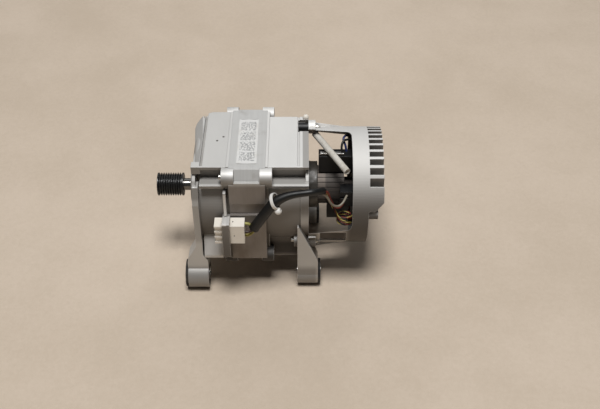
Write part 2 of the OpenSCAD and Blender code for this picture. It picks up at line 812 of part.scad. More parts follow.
module label() color("white") {
    label_shift = 4.5;
    mid = x_joint + stack_len / 2 - 0.6;
    slab([mid - label_w / 2, -label_len / 2 - label_shift, stack_half],
        [mid + label_w / 2, label_len / 2 - label_shift, stack_half + 0.2]);
}

// Rubber bushes with end flanges, and the steel sleeves in them
module bush(x, y, drop, r, out) {
    difference() {
        union() {
            rod(x, y, -drop, r - eye_wall - touch, eye_len);
            rod(out < 0 ? x - bush_flange : x + eye_len, y, -drop, r - 0.7, bush_flange);
        }
        rod(x - bush_flange - over, y, -drop, sleeve_d / 2 + sleeve_wall,
            eye_len + 2 * bush_flange + 2 * over);
    }
}

module foot_bushes_front() color("black") both_sides()
    bush(x_front_eye, front_foot_half, foot_drop, front_eye_r, -1);

module foot_bushes_rear() color("black") both_sides()
    bush(x_rear_eye, rear_foot_half, rear_drop, rear_eye_r, 1);

module foot_sleeve(x, y, drop, out) {
    tube(out < 0 ? x - bush_flange - 0.4 : x - 0.4, y, -drop,
        sleeve_d / 2 + sleeve_wall - touch, sleeve_d / 2,
        eye_len + bush_flange + 0.8);
}

module foot_sleeves() color("lightgray") both_sides() {
    foot_sleeve(x_front_eye, front_foot_half, foot_drop, -1);
    foot_sleeve(x_rear_eye, rear_foot_half, rear_drop, 1);
}

// Rotor: stepped shaft, belt pulley, laminated rotor, winding and commutator
module shaft() color("lightsteelblue") turned() {
    x_nose = -pulley_w / 2 - 0.6;
    x_tail = x_rb - 1.5;
    translate([0, x_nose]) square([tip_d / 2, x_fb - 1 - x_nose]);
    translate([0, x_fb - 1]) square([shaft_d / 2, x_tail - x_fb + 1]);
    translate([0, x_tail]) square([tail_d / 2, x_end - 3 - x_tail]);
}

module pulley() color("dimgray") turned() {
    r = pulley_d / 2;
    span = groove_count * groove_pitch;
    difference() {
        translate([tip_d / 2 + touch, -pulley_w / 2]) square([r - tip_d / 2 - touch, pulley_w]);
        for (k = [0:groove_count - 1]) translate([r, (k + 0.5) * groove_pitch - span / 2]) polygon([
            [over, 0.44 * groove_pitch + over * 0.5], [0, 0.44 * groove_pitch],
            [-groove_depth, 0.1 * groove_pitch], [-groove_depth, -0.1 * groove_pitch],
            [0, -0.44 * groove_pitch], [over, -0.44 * groove_pitch - over * 0.5]
        ]);
    }
}

module rotor_stack() color("gray") section(x_joint, stack_len) difference() {
    circle(rotor_r);
    circle(shaft_d / 2 + touch);
    for (k = [0:slot_count - 1]) rotate(360 * (k + 0.5) / slot_count) {
        translate([rotor_r - 3, -1]) square([4, 2]);
        translate([rotor_r - 8, 0]) circle(min(4, 0.18 * rotor_r * 12 / slot_count));
    }
}

module rotor_end_discs() color("ivory") for (x = [x_joint - 1.2, x_split]) section(x, 1.2) difference() {
    circle(rotor_r - 3);
    circle(shaft_d / 2 + touch);
}

module armature_winding() color("sienna") turned() {
    r0 = shaft_d / 2 + 1.5;
    r1 = rotor_r - 3;
    polygon([[r0, x_joint - 1.2], [r1, x_joint - 1.2], [r1, x_joint - 9], [r1 - 5, x_joint - 13],
        [r0, x_joint - 13]]);
    polygon([[r0, x_split + 1.2], [r1, x_split + 1.2], [r1, x_split + 9], [r1 - 5, x_split + 13],
        [commutator_r + 4.5, x_com], [commutator_r + 4.5, x_com + riser], [r0, x_com + riser]]);
}

module commutator_hub() color("saddlebrown")
    tube(x_com + riser, 0, 0, commutator_r - 4, shaft_d / 2 + touch, commutator_len - riser);

module commutator_bars() color("peru") section(x_com + riser, commutator_len - riser) difference() {
    circle(commutator_r);
    circle(commutator_r - 4 + touch);
    for (k = [0:bar_count - 1])
        rotate(360 * k / bar_count) translate([0, -0.3]) square([commutator_r + over, 0.6]);
}

module retaining_ring() color("darkgray")
    tube(x_fb + front_w, 0, 0, shaft_d / 2 + 2.5, shaft_d / 2 + touch, 1.2);

// Ball bearings with a groove for the balls in each ring
module race(x, r_out, r_in, width, pitch_r) {
    turned() difference() {
        translate([r_in, x]) square([r_out - r_in, width]);
        translate([pitch_r, x + width / 2]) circle(ball_d / 2 + 0.05);
    }
}

module balls(x, width, pitch_r) {
    for (k = [0:ball_count - 1])
        rotate([360 * k / ball_count, 0, 0]) translate([x + width / 2, 0, pitch_r]) sphere(ball_d / 2);
}

function pitch_r(outer, inner) = (outer + inner) / 4;

module front_bearing_outer() color("lightgray")
    race(x_fb, front_od / 2 - touch, pitch_r(front_od, shaft_d) + ball_d * 0.3, front_w,
        pitch_r(front_od, shaft_d));

module front_bearing_inner() color("lightgray")
    race(x_fb, pitch_r(front_od, shaft_d) - ball_d * 0.3, shaft_d / 2 + touch, front_w,
        pitch_r(front_od, shaft_d));

module front_bearing_balls() color("white") balls(x_fb, front_w, pitch_r(front_od, shaft_d));

module rear_bearing_outer() color("lightgray")
    race(x_rb, rear_od / 2 - touch, pitch_r(rear_od, tail_d) + ball_d * 0.3, rear_w,
        pitch_r(rear_od, tail_d));

module rear_bearing_inner() color("lightgray")
    race(x_rb, pitch_r(rear_od, tail_d) - ball_d * 0.3, tail_d / 2 + touch, rear_w, pitch_r(rear_od, tail_d));

module rear_bearing_balls() color("white") balls(x_rb, rear_w, pitch_r(rear_od, tail_d));

// Preload washer between the rear bearing and the end of its seat
module wave_washer() color("darkgray")
    tube(x_rb + rear_w, 0, 0, rear_od / 2 - 0.5, rear_od / 2 - 3, x_seat_end - x_rb - rear_w);

// Speed sensor: magnet on the shaft's tail, coil round it and a cap over both
module tacho_magnet() color("dimgray")
    tube(x_seat_end + 2.2, 0, 0, tail_d / 2 + 3, tail_d / 2 + touch, x_end - 5 - x_seat_end);

module tacho_coil() color("ivory")
    tube(x_seat_end + 1.5, 0, 0, rear_od / 2 - touch, tail_d / 2 + 4, x_end - 3.5 - x_seat_end);

module tacho_cap() color("black") rod(x_end - 2, 0, 0, rear_od / 2 - touch, 1.6);

// Brush holders above and below the commutator, bolted to the back plate
module brush_holder(x_start, x_mid) {
    x_back = x_cap - back_plate;
    difference() {
        union() {
            slab([x_start, -holder_w / 2, holder_z], [x_ring + 3, holder_w / 2, holder_top]);
            slab([x_ring, -holder_w / 2, rear_hub_r + 1], [x_back, holder_w / 2, holder_top]);
            slab([x_back - 3, -holder_w / 2 - 4, rear_hub_r + 1], [x_back, holder_w / 2 + 4, holder_top + 6]);
        }
        slab([x_mid - brush_x / 2 - slide_gap, -brush_y / 2 - slide_gap, holder_z - over],
            [x_mid + brush_x / 2 + slide_gap, brush_y / 2 + slide_gap, holder_top + over]);
        both_sides() rod(x_back - 3 - over, holder_w / 2, holder_top + 3, 1.5 + loose, 3 + 2 * over);
    }
}

module brush_holder_top() color("black") brush_holder(x_holder, x_brush);

module brush_holder_bottom() color("black") mirror([0, 0, 1])
    brush_holder(x_brush + brush_stagger - brush_x / 2 - brush_side, x_brush + brush_stagger);

module below() mirror([0, 0, 1]) translate([brush_stagger, 0, 0]) children();

module brush_cap() {
    reach = brush_x / 2 + brush_side;
    slab([x_brush - reach, -cap_half, holder_top], [x_brush + reach, cap_half, holder_top + cap_t]);
}

module brush_caps() color("black") {
    brush_cap();
    below() brush_cap();
}

module brush_holder_screws() color("gainsboro") both_sides() for (z = [-holder_top - 3, holder_top + 3]) {
    x_face = x_cap - back_plate - 3;
    rod(x_face, holder_w / 2, z, 1.5 - touch, 6.5);
    rod(x_face - 1.8, holder_w / 2, z, 2.8, 1.8);
}

module carbon_brush() {
    slab([x_brush - brush_x / 2, -brush_y / 2, brush_foot],
        [x_brush + brush_x / 2, brush_y / 2, brush_foot + brush_z]);
}

module carbon_brush_top() color("darkslategray") carbon_brush();

module carbon_brush_bottom() color("darkslategray") below() carbon_brush();

// Brush springs: one unbroken helix each, from the brush to the holder's cap
spring_low = brush_foot + brush_z + spring_wire / 2 + 0.1;
spring_high = holder_top - spring_wire / 2 - 0.1;
spring_rings = 8 * spring_turns;
spring_points = [for (k = [0:spring_rings]) let (a = 360 * spring_turns * k / spring_rings) [
    x_brush + (spring_d - spring_wire) / 2 * cos(a), (spring_d - spring_wire) / 2 * sin(a),
    spring_low + (spring_high - spring_low) * k / spring_rings]];
echo(str("Least gap between spring turns: ", least_gap(spring_points, spring_wire, 4)));

module brush_spring_top() color("silver") swept(spring_points, spring_wire, 6);

module brush_spring_bottom() color("silver") below() swept(spring_points, spring_wire, 6);

// Bright tin terminal along the plug-side top edge of the upper holder
module brush_terminal() color("white")
    slab([x_holder + 0.5, -holder_w / 2 + 0.3, holder_top],
        [x_holder + 8, -cap_half - run_gap, holder_top + 1.2]);

// Black block where the thin leads end, in front of the commutator
module terminal_block() color("black") difference() {
    slab([x_ring - block_reach, block_y - block_depth, 0], [x_cap - back_plate, block_y, block_h]);
    slab([x_ring - block_reach - over, block_y - block_depth - over, 10],
        [x_ring - 3, block_y - block_depth + 5, 12]);
}

// Plug: one body that passes through its bracket, ribbed on the pulley side
module plug_housing() color("white") {
    x0 = x_bracket - plug_left;
    bottom = plug_top - plug_h;
    difference() {
        union() {
            slab([x_bracket - touch, -plug_front, bottom],
                [x_bracket + bracket_t + touch, -plug_back, plug_top]);
            slab([x_bracket + bracket_t, -plug_front - 0.8, bottom - 0.8],
                [x_bracket + bracket_t + plug_right, -plug_back, plug_top + 0.8]);
            slab([x0, -plug_front, bottom - 0.8], [x_bracket, -plug_back, plug_top + 0.8]);
            for (k = [0:rib_count - 1]) let (z = bottom - 0.8 + k * (plug_h - 0.8) / (rib_count - 1))
                slab([x0 - 0.8, -plug_front - 0.8, z], [x_bracket, -plug_back, z + 2.4]);
        }
        plug_cavities() slab([-2, -1.6, -1.8], [8, 1.6, 1.8]);
        translate([plug_mouth[0] - latch_in, plug_mouth[1], plug_top - latch_depth])
            cylinder(d = latch_d, h = latch_depth + 2);
        translate([plug_mouth[0] - latch_in + 1.2, -plug_front + latch_depth, plug_mouth[2] - 1.2])
            rotate([90, 0, 0]) cylinder(d = latch_d, h = latch_depth + 2);
    }
}

module plug_pins() color("gold") {
    plug_cavities() slab([1, -0.6, -0.4], [8, 0.6, 0.4]);
}

// The places of the contacts, from the plug's open end
module plug_cavities() {
    for (k = [0:pin_rows - 1], y = [1, 3])
        translate([x_bracket - plug_left, -plug_back - y * plug_depth / 4,
            plug_top - (k + 0.5) * plug_h / pin_rows]) children();
}

// Harness sleeve, thick up to the cable tie and thin beyond it, and the leads that leave its ends
harness_run = smooth(harness_route, 2);
tie_place = 6;
harness_sizes = [for (i = [0:len(harness_run) - 1])
    harness_thin + (harness_d - harness_thin) * max(0, min(1, 1 - (i - tie_place) / 3))];

module harness_sleeve() color("black") swept(harness_run, harness_sizes, 12);

module lead_earth() color("yellowgreen") swept(earth_route, plug_lead_d, 8);

module lead_brown() color("maroon") swept(brown_route, plug_lead_d, 8);

module lead_yellow() color("gold") swept(yellow_route, plug_lead_d, 8);

module lead_red() color("orangered") swept(smooth(red_route, 2), lead_d, 8);

module lead_blue() color("navy") swept(smooth(blue_route, 2), lead_d, 8);

module lead_black() color("black") swept(smooth(black_route, 2), lead_d, 8);

module lead_white() color("white") swept(smooth(white_route, 2), lead_d, 8);

// Spare length of the sensor leads, wound into flat loops
loop_rings = 12 * loop_turns;
loop_points = concat(
    loop_start,
    [for (k = [0:loop_rings]) let (a = 180 + 360 * loop_turns * k / loop_rings)
        loop_centre
            + [loop_size[0] * cos(a), loop_size[1] * sin(a), -loop_pitch * loop_turns * k / loop_rings]],
    loop_finish
);
echo(str("Least gap between lead loops: ", least_gap(loop_points, lead_d, 6)));

module lead_loops() color("gold") swept(loop_points, lead_d, 6);

// Straight insulating sleeve across the window
module lead_sleeve() color("gainsboro") {
    run = sleeve_ends[1] - sleeve_ends[0];
    turn = atan2(run[1], run[0]);
    tilt = acos(run[2] / norm(run));
    translate(sleeve_ends[0]) rotate([0, tilt, turn]) difference() {
        cylinder(d = window_sleeve_d, h = norm(run));
        translate([0, 0, -over]) cylinder(d = window_sleeve_d - 2, h = norm(run) + 2 * over);
    }
}

// Cable tie: a loose band that leans on the harness, with its round lock at the lower end
module cable_tie() color("white") {
    lean = 20;
    lock_r = 3.4;
    lock_turn = -40;
    heading = headings(harness_run)[tie_place];
    band_r = harness_d / 2 + 3;
    translate(harness_run[tie_place]) rotate([0, acos(heading[2]) + lean, atan2(heading[1], heading[0])])
        translate([-1.1, 0, 0]) {
        difference() {
            cylinder(r = band_r, h = 3, center = true);
            cylinder(r = band_r - 1.1, h = 5, center = true);
        }
        rotate(lock_turn) translate([band_r + lock_r / 2, 0, 0]) sphere(lock_r);
    }
}

// Cream clip beside the notch in the rear casting's flat top
module cable_clip() color("beige") translate([x_open - 2.4, notch_back + 3.5, panel_z + 0.6]) sphere(3);

front_shield();
rear_shell();
brush_shield();
stator_stack();
field_coil_front();
field_coil_rear();
clamp_bolts();
clamp_washers();
strut_screws();
strut_spacers();
label();
foot_bushes_front();
foot_bushes_rear();
foot_sleeves();
shaft();
pulley();
rotor_stack();
armature_winding();
rotor_end_discs();
commutator_hub();
commutator_bars();
retaining_ring();
front_bearing_outer();
front_bearing_inner();
front_bearing_balls();
rear_bearing_outer();
rear_bearing_inner();
rear_bearing_balls();
wave_washer();
tacho_magnet();
tacho_coil();
tacho_cap();
brush_holder_top();
brush_holder_bottom();
brush_caps();
brush_holder_screws();
carbon_brush_top();
carbon_brush_bottom();
brush_spring_top();
brush_spring_bottom();
brush_terminal();
terminal_block();
plug_housing();
plug_pins();
harness_sleeve();
lead_earth();
lead_brown();
lead_yellow();
lead_red();
lead_blue();
lead_black();
lead_white();
lead_loops();
lead_sleeve();
cable_tie();
cable_clip();
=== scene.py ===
"""Washing machine motor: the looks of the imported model.

New pieces are given in millimetres, as the solids are, and put into the frame in metres.
Materials read places in metres. Colours are sRGB out of 255.
"""

import math

import bpy
import mathutils
import numpy as np
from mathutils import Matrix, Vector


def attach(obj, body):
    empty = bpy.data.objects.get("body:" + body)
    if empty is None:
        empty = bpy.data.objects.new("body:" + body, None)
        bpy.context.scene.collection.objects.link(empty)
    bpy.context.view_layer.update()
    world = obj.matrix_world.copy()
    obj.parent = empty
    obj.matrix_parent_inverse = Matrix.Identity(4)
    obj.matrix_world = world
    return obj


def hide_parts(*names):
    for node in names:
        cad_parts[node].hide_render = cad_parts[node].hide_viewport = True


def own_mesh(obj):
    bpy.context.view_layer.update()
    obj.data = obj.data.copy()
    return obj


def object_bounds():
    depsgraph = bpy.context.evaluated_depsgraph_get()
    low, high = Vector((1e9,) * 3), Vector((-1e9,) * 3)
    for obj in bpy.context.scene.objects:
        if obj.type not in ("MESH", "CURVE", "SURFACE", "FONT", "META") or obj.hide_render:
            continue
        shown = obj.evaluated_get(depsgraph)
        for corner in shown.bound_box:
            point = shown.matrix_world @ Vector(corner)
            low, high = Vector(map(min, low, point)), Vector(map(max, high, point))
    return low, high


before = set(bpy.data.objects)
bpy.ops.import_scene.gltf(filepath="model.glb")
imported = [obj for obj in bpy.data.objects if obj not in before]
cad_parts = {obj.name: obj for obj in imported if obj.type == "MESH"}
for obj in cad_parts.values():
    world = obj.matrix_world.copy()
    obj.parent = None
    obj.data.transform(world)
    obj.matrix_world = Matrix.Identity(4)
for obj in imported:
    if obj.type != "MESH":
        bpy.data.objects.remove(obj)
cad_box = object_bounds()

# Camera: square to the shaft, 41 degrees above the floor and 0.9 m from the motor.
camera = bpy.data.objects.new("camera", bpy.data.cameras.new("camera"))
camera.location = (0.12875, -0.6927, 0.5750)
camera.rotation_euler = (math.radians(90 - 41), 0, 0)
camera.data.lens = 54
bpy.context.scene.collection.objects.link(camera)
bpy.context.scene.camera = camera


# Harness: a black PVC sleeve from the plug up into the brush window, with the leads that leave both its ends.
# It is held at both ends and lies against the stator and the rear casting, with open mouths round the leads.
def smooth(points, steps):
    """Catmull-Rom curve through the points, with so many steps to each span b to c:
    (2b + (c - a)t + (2a - 5b + 4c - d)t^2 + (3b - 3c + d - a)t^3) / 2."""
    p = np.array(points, float)
    a, b, c, d = (p[np.clip(np.arange(-1, len(p) - 2) + k, 0, len(p) - 1)] for k in range(4))
    t = np.linspace(0, 1, steps, endpoint=False)[:, None, None]
    run = (2 * b + (c - a) * t + (2 * a - 5 * b + 4 * c - d) * t**2 + (3 * b - 3 * c + d - a) * t**3) / 2
    return np.vstack([run.transpose(1, 0, 2).reshape(-1, 3), p[-1:]])


def distance(path):
    """Distance along the path at each of its points: the sum of the steps before it."""
    return np.concatenate([[0], np.cumsum(np.linalg.norm(np.diff(path, axis=0), axis=1))])


def carried(path):
    """Heading t, side n and b = t x n at each point, with n carried along the path without twist."""
    run = np.gradient(path, axis=0)
    t = run / np.linalg.norm(run, axis=1, keepdims=True)
    n = np.cross(t, (0, 0, 1) if abs(t[0, 2]) < 0.9 else (0, 1, 0))
    for i in range(len(t)):
        side = n[max(i - 1, 0)]
        side = side - (side @ t[i]) * t[i]
        n[i] = side / np.linalg.norm(side)
    return t, n, np.cross(t, n)


def tube(path, radius, sides):
    """path(s) + radius(s, a) (cos a n(s) + sin a b(s)) for a from 0 to 2 pi."""
    t, n, b = carried(path)
    a = np.linspace(0, 2 * np.pi, sides, endpoint=False)
    ring = np.cos(a)[:, None] * n[:, None] + np.sin(a)[:, None] * b[:, None]
    radius = np.broadcast_to(radius, (len(path), sides))
    return path[:, None] + radius[..., None] * ring


def piece(name, grid, material, slot, body="housing", replaced=(), closed=False, crease=None):
    """A mesh over grid[row, column]. Columns join up; rows join up when closed, else each end gets a fan.
    The UV map is (turns round the column, mm along the rows). Edges over crease degrees stay sharp."""
    rows, columns = grid.shape[:2]
    index = np.arange(rows * columns).reshape(rows, columns)
    last = rows if closed else rows - 1
    here, there = index[:last], np.roll(index, -1, axis=0)[:last]
    quads = np.stack([here, np.roll(here, -1, axis=1), np.roll(there, -1, axis=1), there], axis=-1)
    quads = quads.reshape(-1, 4)
    along = distance(grid.mean(axis=1))
    along = np.append(along, 2 * along[-1] - along[-2])
    u, v = np.meshgrid(np.arange(columns) / columns, along[:last])
    ahead = np.broadcast_to(along[1:last + 1, None], v.shape)
    far = u + 1 / columns
    uv = np.stack([u, v, far, v, far, ahead, u, ahead], axis=-1).reshape(-1, 4, 2)
    points = grid.reshape(-1, 3)
    fans = np.empty((0, 3), int)
    if not closed:
        points = np.vstack([points, grid[0].mean(axis=0), grid[-1].mean(axis=0)])
        near = np.stack([np.roll(index[0], -1), index[0], np.full(columns, rows * columns)], axis=-1)
        end = np.stack([index[-1], np.roll(index[-1], -1), np.full(columns, rows * columns + 1)], axis=-1)
        fans = np.vstack([near, end])
    corners = points[np.vstack([quads[:, :3], quads[:, [0, 2, 3]], fans])]
    if np.einsum("ij,ij->i", corners[:, 0], np.cross(corners[:, 1], corners[:, 2])).sum() < 0:
        quads, uv, fans = quads[:, ::-1], uv[:, ::-1], fans[:, ::-1]
    mesh = bpy.data.meshes.new(name)
    mesh.from_pydata((points / 1000).tolist(), [], quads.tolist() + fans.tolist())
    layer = mesh.uv_layers.new(name="UVMap")
    layer.data.foreach_set("uv", np.concatenate([uv.ravel(), np.zeros(6 * len(fans))]).astype(np.float32))
    mesh.polygons.foreach_set("use_smooth", np.ones(len(mesh.polygons), bool))
    if crease:
        mesh.set_sharp_from_angle(angle=math.radians(crease))
    mesh.materials.append(material)
    made = bpy.data.objects.new(name, mesh)
    bpy.context.scene.collection.objects.link(made)
    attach(made, body)
    if replaced:
        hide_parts(replaced)
    return made


def tone(r, g, b):
    """An sRGB colour out of 255 as linear RGBA."""
    c = np.array([r, g, b]) / 255
    return (*np.where(c <= 0.04045, c / 12.92, ((c + 0.055) / 1.055) ** 2.4), 1)


class Field:
    """A socket of a material's shader tree. Arithmetic adds Math nodes, and node() adds any other kind."""

    def __init__(self, material, socket):
        self.material = material
        self.socket = socket

    def node(self, kind, settings=None, sockets=None, out=0):
        """One output of a new node, which gets its settings first and then its sockets' values or links."""
        tree = self.material.node_tree
        made = tree.nodes.new("ShaderNode" + kind)
        for name, value in (settings or {}).items():
            setattr(made, name, value)
        for name, value in (sockets or {}).items():
            if isinstance(name, int):
                target = made.inputs[name]
            else:
                target = next(s for s in made.inputs if name in (s.identifier, s.name))
            if isinstance(value, Field):
                tree.links.new(value.socket, target)
            else:
                target.default_value = value
        return Field(self.material, made.outputs[out])

    def math(self, operation, *others):
        """A Math node on this and the others."""
        return self.node("Math", {"operation": operation}, dict(enumerate((self, *others))))

    def vector(self, operation, *others, out=0):
        """A Vector Math node on this and the others."""
        return self.node("VectorMath", {"operation": operation}, dict(enumerate((self, *others))), out)

    def __add__(self, other):
        return self.math("ADD", other)

    def __sub__(self, other):
        return self.math("SUBTRACT", other)

    def __rsub__(self, other):
        return self.node("Math", {"operation": "SUBTRACT"}, {0: other, 1: self})

    def __mul__(self, other):
        return self.math("MULTIPLY", other)

    def __abs__(self):
        return self.math("ABSOLUTE")

    __radd__ = __add__
    __rmul__ = __mul__

    def axis(self, k):
        """One of the three parts of a vector."""
        return self.node("SeparateXYZ", None, {0: self}, k)

    def stretched(self, x, y, z):
        """The coordinates times (x, y, z)."""
        return self.vector("MULTIPLY", (x, y, z))

    def noise(self, scale, detail=3.0, rough=0.5):
        """Fractal noise from 0 to 1, scale waves to the metre."""
        sockets = {"Vector": self, "Scale": scale, "Detail": detail, "Roughness": rough}
        return self.node("TexNoise", {"normalize": True}, sockets)

    def step(self, low, high):
        """Smooth rise from 0 at low to 1 at high."""
        sockets = {"Value": self, "From Min": low, "From Max": high}
        return self.node("MapRange", {"interpolation_type": "SMOOTHSTEP"}, sockets)

    def fall(self, low, high):
        """Smooth drop from 1 at low to 0 at high."""
        return 1 - self.step(low, high)

    def within(self, rise, drop):
        """1 in a band that begins with a step over the pair rise and ends with a fall over the pair drop."""
        return self.step(*rise) * self.fall(*drop)

    def mix(self, a, b):
        """Colour a where this is 0, and b where it is 1. Each is a Field or an sRGB triple."""
        a, b = (colour if isinstance(colour, Field) else tone(*colour) for colour in (a, b))
        return self.node("Mix", {"data_type": "RGBA"}, {"Factor_Float": self, "A_Color": a, "B_Color": b}, 2)

    def hollows(self, reach):
        """0 in the open and 1 deep in a corner, over a reach in metres."""
        return 1 - self.node("AmbientOcclusion", {"samples": 6}, {"Distance": reach}, "AO")

    def upward(self):
        """1 on faces that look up, 0 on walls and below."""
        return self.node("NewGeometry", out="True Normal").axis(2).step(0.15, 0.95)

    def edges(self, radius):
        """Normal rounded over the edges, and a mask that is 1 on them."""
        rounded = self.node("Bevel", {"samples": 4}, {"Radius": radius})
        same = rounded.vector("DOT_PRODUCT", self.node("NewGeometry", out="True Normal"), out="Value")
        return rounded, (1 - same).step(0.01, 0.14)

    def finish(self, colour, roughness, height, depth, normal=None):
        """Feeds the shader, with height as bump of that depth in metres, and gives back the material."""
        sockets = {"Strength": 1.0, "Distance": depth, "Height": height}
        if normal:
            sockets["Normal"] = normal
        bump = self.node("Bump", None, sockets)
        tree = self.material.node_tree
        for name, field in (("Base Color", colour), ("Roughness", roughness), ("Normal", bump)):
            tree.links.new(field.socket, tree.nodes["Principled BSDF"].inputs[name])
        return self.material


def surface(name, **sockets):
    """A new material with those constants on its shader; its Object coordinates as a Field."""
    material = bpy.data.materials.new(name)
    material.use_nodes = True
    shader = material.node_tree.nodes["Principled BSDF"]
    for key, value in sockets.items():
        shader.inputs[key.replace("_", " ")].default_value = value
    source = material.node_tree.nodes.new("ShaderNodeTexCoord")
    return Field(material, source.outputs["Object"])


def coated(shade, *coats):
    """A colour with coats laid over it in turn, each (mask, colour)."""
    for mask, colour in coats:
        shade = mask.mix(shade, colour)
    return shade


def pvc(name, colour, shadow, dust=(150, 138, 120)):
    """Soft PVC: a slow drift of colour, a satin skin with faint draw marks, and a film of dust."""
    place = surface(name)
    drift = place.noise(90, 3)
    film = place.noise(330, 5, 0.65).step(0.56, 0.8) * 0.3
    skin = place.noise(1600, 2)
    shade = coated(drift.mix(shadow, colour), (film, dust))
    return place.finish(shade, 0.34 + 0.2 * drift + 0.25 * film, skin, 0.00004)


def sleeve_skin(path, radius, wall, depth):
    """Tube of one radius, or one for each point, whose ends turn in over the wall and go depth down the bore.
    Soft creases: radius (1 + 0.012 sin(2.1 s) sin(0.37 s) + 0.01 cos(2 a + 0.05 s)), s along and a round."""
    sides = 32
    s = distance(path)[:, None]
    a = np.linspace(0, 2 * np.pi, sides, endpoint=False)
    radius = np.broadcast_to(radius, len(path))[:, None]
    creases = 0.012 * np.sin(2.1 * s) * np.sin(0.37 * s) + 0.01 * np.cos(2 * a + 0.05 * s)
    skin = tube(path, radius * (1 + creases), sides)
    t = carried(path)[0]
    rings = []
    for end, inward in ((0, t[0]), (-1, -t[-1])):
        mouth = skin[end] - path[end]
        share = wall / radius[end]
        lips = [(0.97, 0), (1 - share, 0.1), (1 - 1.1 * share, 1), (1 - 1.2 * share, depth)]
        rings.append([path[end] + mouth * scale + inward * back for scale, back in lips])
    return np.concatenate([rings[0][::-1], skin, rings[1]])


harness_route = [
    (84.8, -65, -1), (87.8, -64.5, 4), (96.8, -63.5, 18), (106, -61, 29),
    (119, -59, 35), (136, -58.5, 38), (144, -56, 37), (151, -50, 33),
]
harness_steps, plug_end_r, window_end_r, taper_from, taper_spans = 10, 5, 3.25, 3, 1.5
harness_run = smooth(harness_route, harness_steps)
taper = np.clip((np.arange(len(harness_run)) / harness_steps - taper_from) / taper_spans, 0, 1)
harness_r = plug_end_r + (window_end_r - plug_end_r) * taper
harness_black = pvc("harness_black", (18, 18, 17), (8, 8, 8), (50, 46, 41))
harness_skin = sleeve_skin(harness_run, harness_r, wall=0.9, depth=6)
piece("harness", harness_skin, harness_black, "harness_black", replaced="harness_sleeve")

plug_leads = {
    "earth": ([(75.8, -62, 3), (79.8, -62, 2.5), (82.3, -62.5, 0.5), (84.2, -63.2, 0.9)],
        (190, 182, 104), (128, 126, 58)),
    "brown": ([(75.8, -68, -2), (79.8, -68, -2), (82.8, -67.5, -1), (85, -66.9, 0.9)],
        (62, 38, 32), (34, 22, 22)),
    "yellow": ([(75.8, -65, -9), (79.8, -65, -9), (83.8, -64.8, -6), (87.4, -64.5, -0.8)],
        (180, 168, 84), (126, 116, 48)),
}
window_leads = {
    "red": ([(151.7, -52, 34.6), (155, -47, 28), (158, -43, 16), (162, -40, 5), (167, -38, 2),
        (171, -33.5, 4)], (158, 74, 60), (108, 48, 42)),
    "blue": ([(174, 3, 38.7), (173, 5, 44), (171, 10, 49), (175, 16, 49), (183, 22, 44),
        (191, 24, 42)], (44, 60, 120), (24, 32, 74)),
    "black": ([(171, -3, 38.7), (169, 0, 45), (171, 5, 50), (178, 9, 49), (185, 11, 47),
        (191, 12, 46)], (36, 36, 36), (16, 16, 16)),
    "white": ([(149.3, -51.6, 31.6), (154, -49, 25), (159, -47, 14), (165, -43, 8), (170, -39, 9),
        (174, -33.5, 14)], (164, 156, 140), (116, 108, 94)),
}
for leads, lead_r in ((plug_leads, 1.4), (window_leads, 1.1)):
    for colour, (route, light, dark) in leads.items():
        insulation = pvc("wire_" + colour, light, dark)
        piece("lead_" + colour + "_wire", tube(smooth(route, 10), lead_r, 16), insulation, "wire_" + colour,
            replaced="lead_" + colour)

# Sensor leads: three thin PVC leads twisted together. Their spare length hangs in loops by the commutator.
# They come out of the harness and end in the foot of the ring.
loop_count, wind = 3.75, np.linspace(0, 1, 91)
loop_x, loop_y, loop_top, half_x, half_y, pitch = 172, -38, -6, 7, 5.5, 2.8
a = np.pi * (1 + 2 * loop_count * wind)
sink = loop_top - pitch * loop_count * wind
turns = np.stack([loop_x + half_x * np.cos(a), loop_y + half_y * np.sin(a), sink], axis=-1)
to_loops = [(149, -49.2, 34.6), (153, -45, 26), (157, -41, 14), (160, -39, 4), (163, -38, -3), turns[0]]
from_loops = [turns[-1], (175, -30, -16), (177, -28, -10), (177, -28, 0.5)]
loops = np.vstack([smooth(to_loops, 8)[:-1], turns, smooth(from_loops, 8)[1:]])
t, n, b = carried(loops)
lay, strand_r, strand_off = 15, 0.5, 0.52
strands = {
    "yellow": ((222, 202, 112), (172, 150, 70)),
    "red": ((140, 46, 36), (92, 28, 26)),
    "black": ((40, 40, 40), (18, 18, 18)),
}
for k, (colour, (light, dark)) in enumerate(strands.items()):
    twist = 2 * np.pi * (distance(loops)[:, None] / lay + k / len(strands))
    strand = loops + strand_off * (np.cos(twist) * n + np.sin(twist) * b)
    insulation = pvc("sensor_" + colour, light, dark)
    piece("loops_" + colour, tube(strand, strand_r, 10), insulation, "wire_" + colour, replaced="lead_loops")

# Window sleeve: a straight braided glass-fibre sleeve, pale grey, across the top of the brush window.
# It leans on the rim of the rear casting and on the upper brush holder.
sleeve_ends = np.array([(143.5, 20.95, 47.05), (173.5, -31.35, 40.86)])
sleeve_run = sleeve_ends[0] + (sleeve_ends[1] - sleeve_ends[0]) * np.linspace(0, 1, 40)[:, None]
place = surface("sleeve_grey")
braid = place.node("TexCoord", out="UV")
per_turn, per_mm = 75.4, 3.6
round_it, along_it = braid.axis(0) * per_turn, braid.axis(1) * per_mm
weave = (round_it + along_it).math("SINE") * (round_it - along_it).math("SINE")
soil = place.noise(160, 4, 0.6)
yarn = soil.step(0.35, 0.75).mix((228, 224, 215), (198, 191, 178))
shade = (weave * 0.5 + 0.5).step(0, 0.5).mix((150, 143, 132), yarn)
sleeve_grey = place.finish(shade, 0.62 + 0.2 * soil, weave, 0.00012)
window_skin = sleeve_skin(sleeve_run, 3.3, wall=1, depth=1.5)
piece("window_sleeve", window_skin, sleeve_grey, "sleeve_grey", replaced="lead_sleeve")

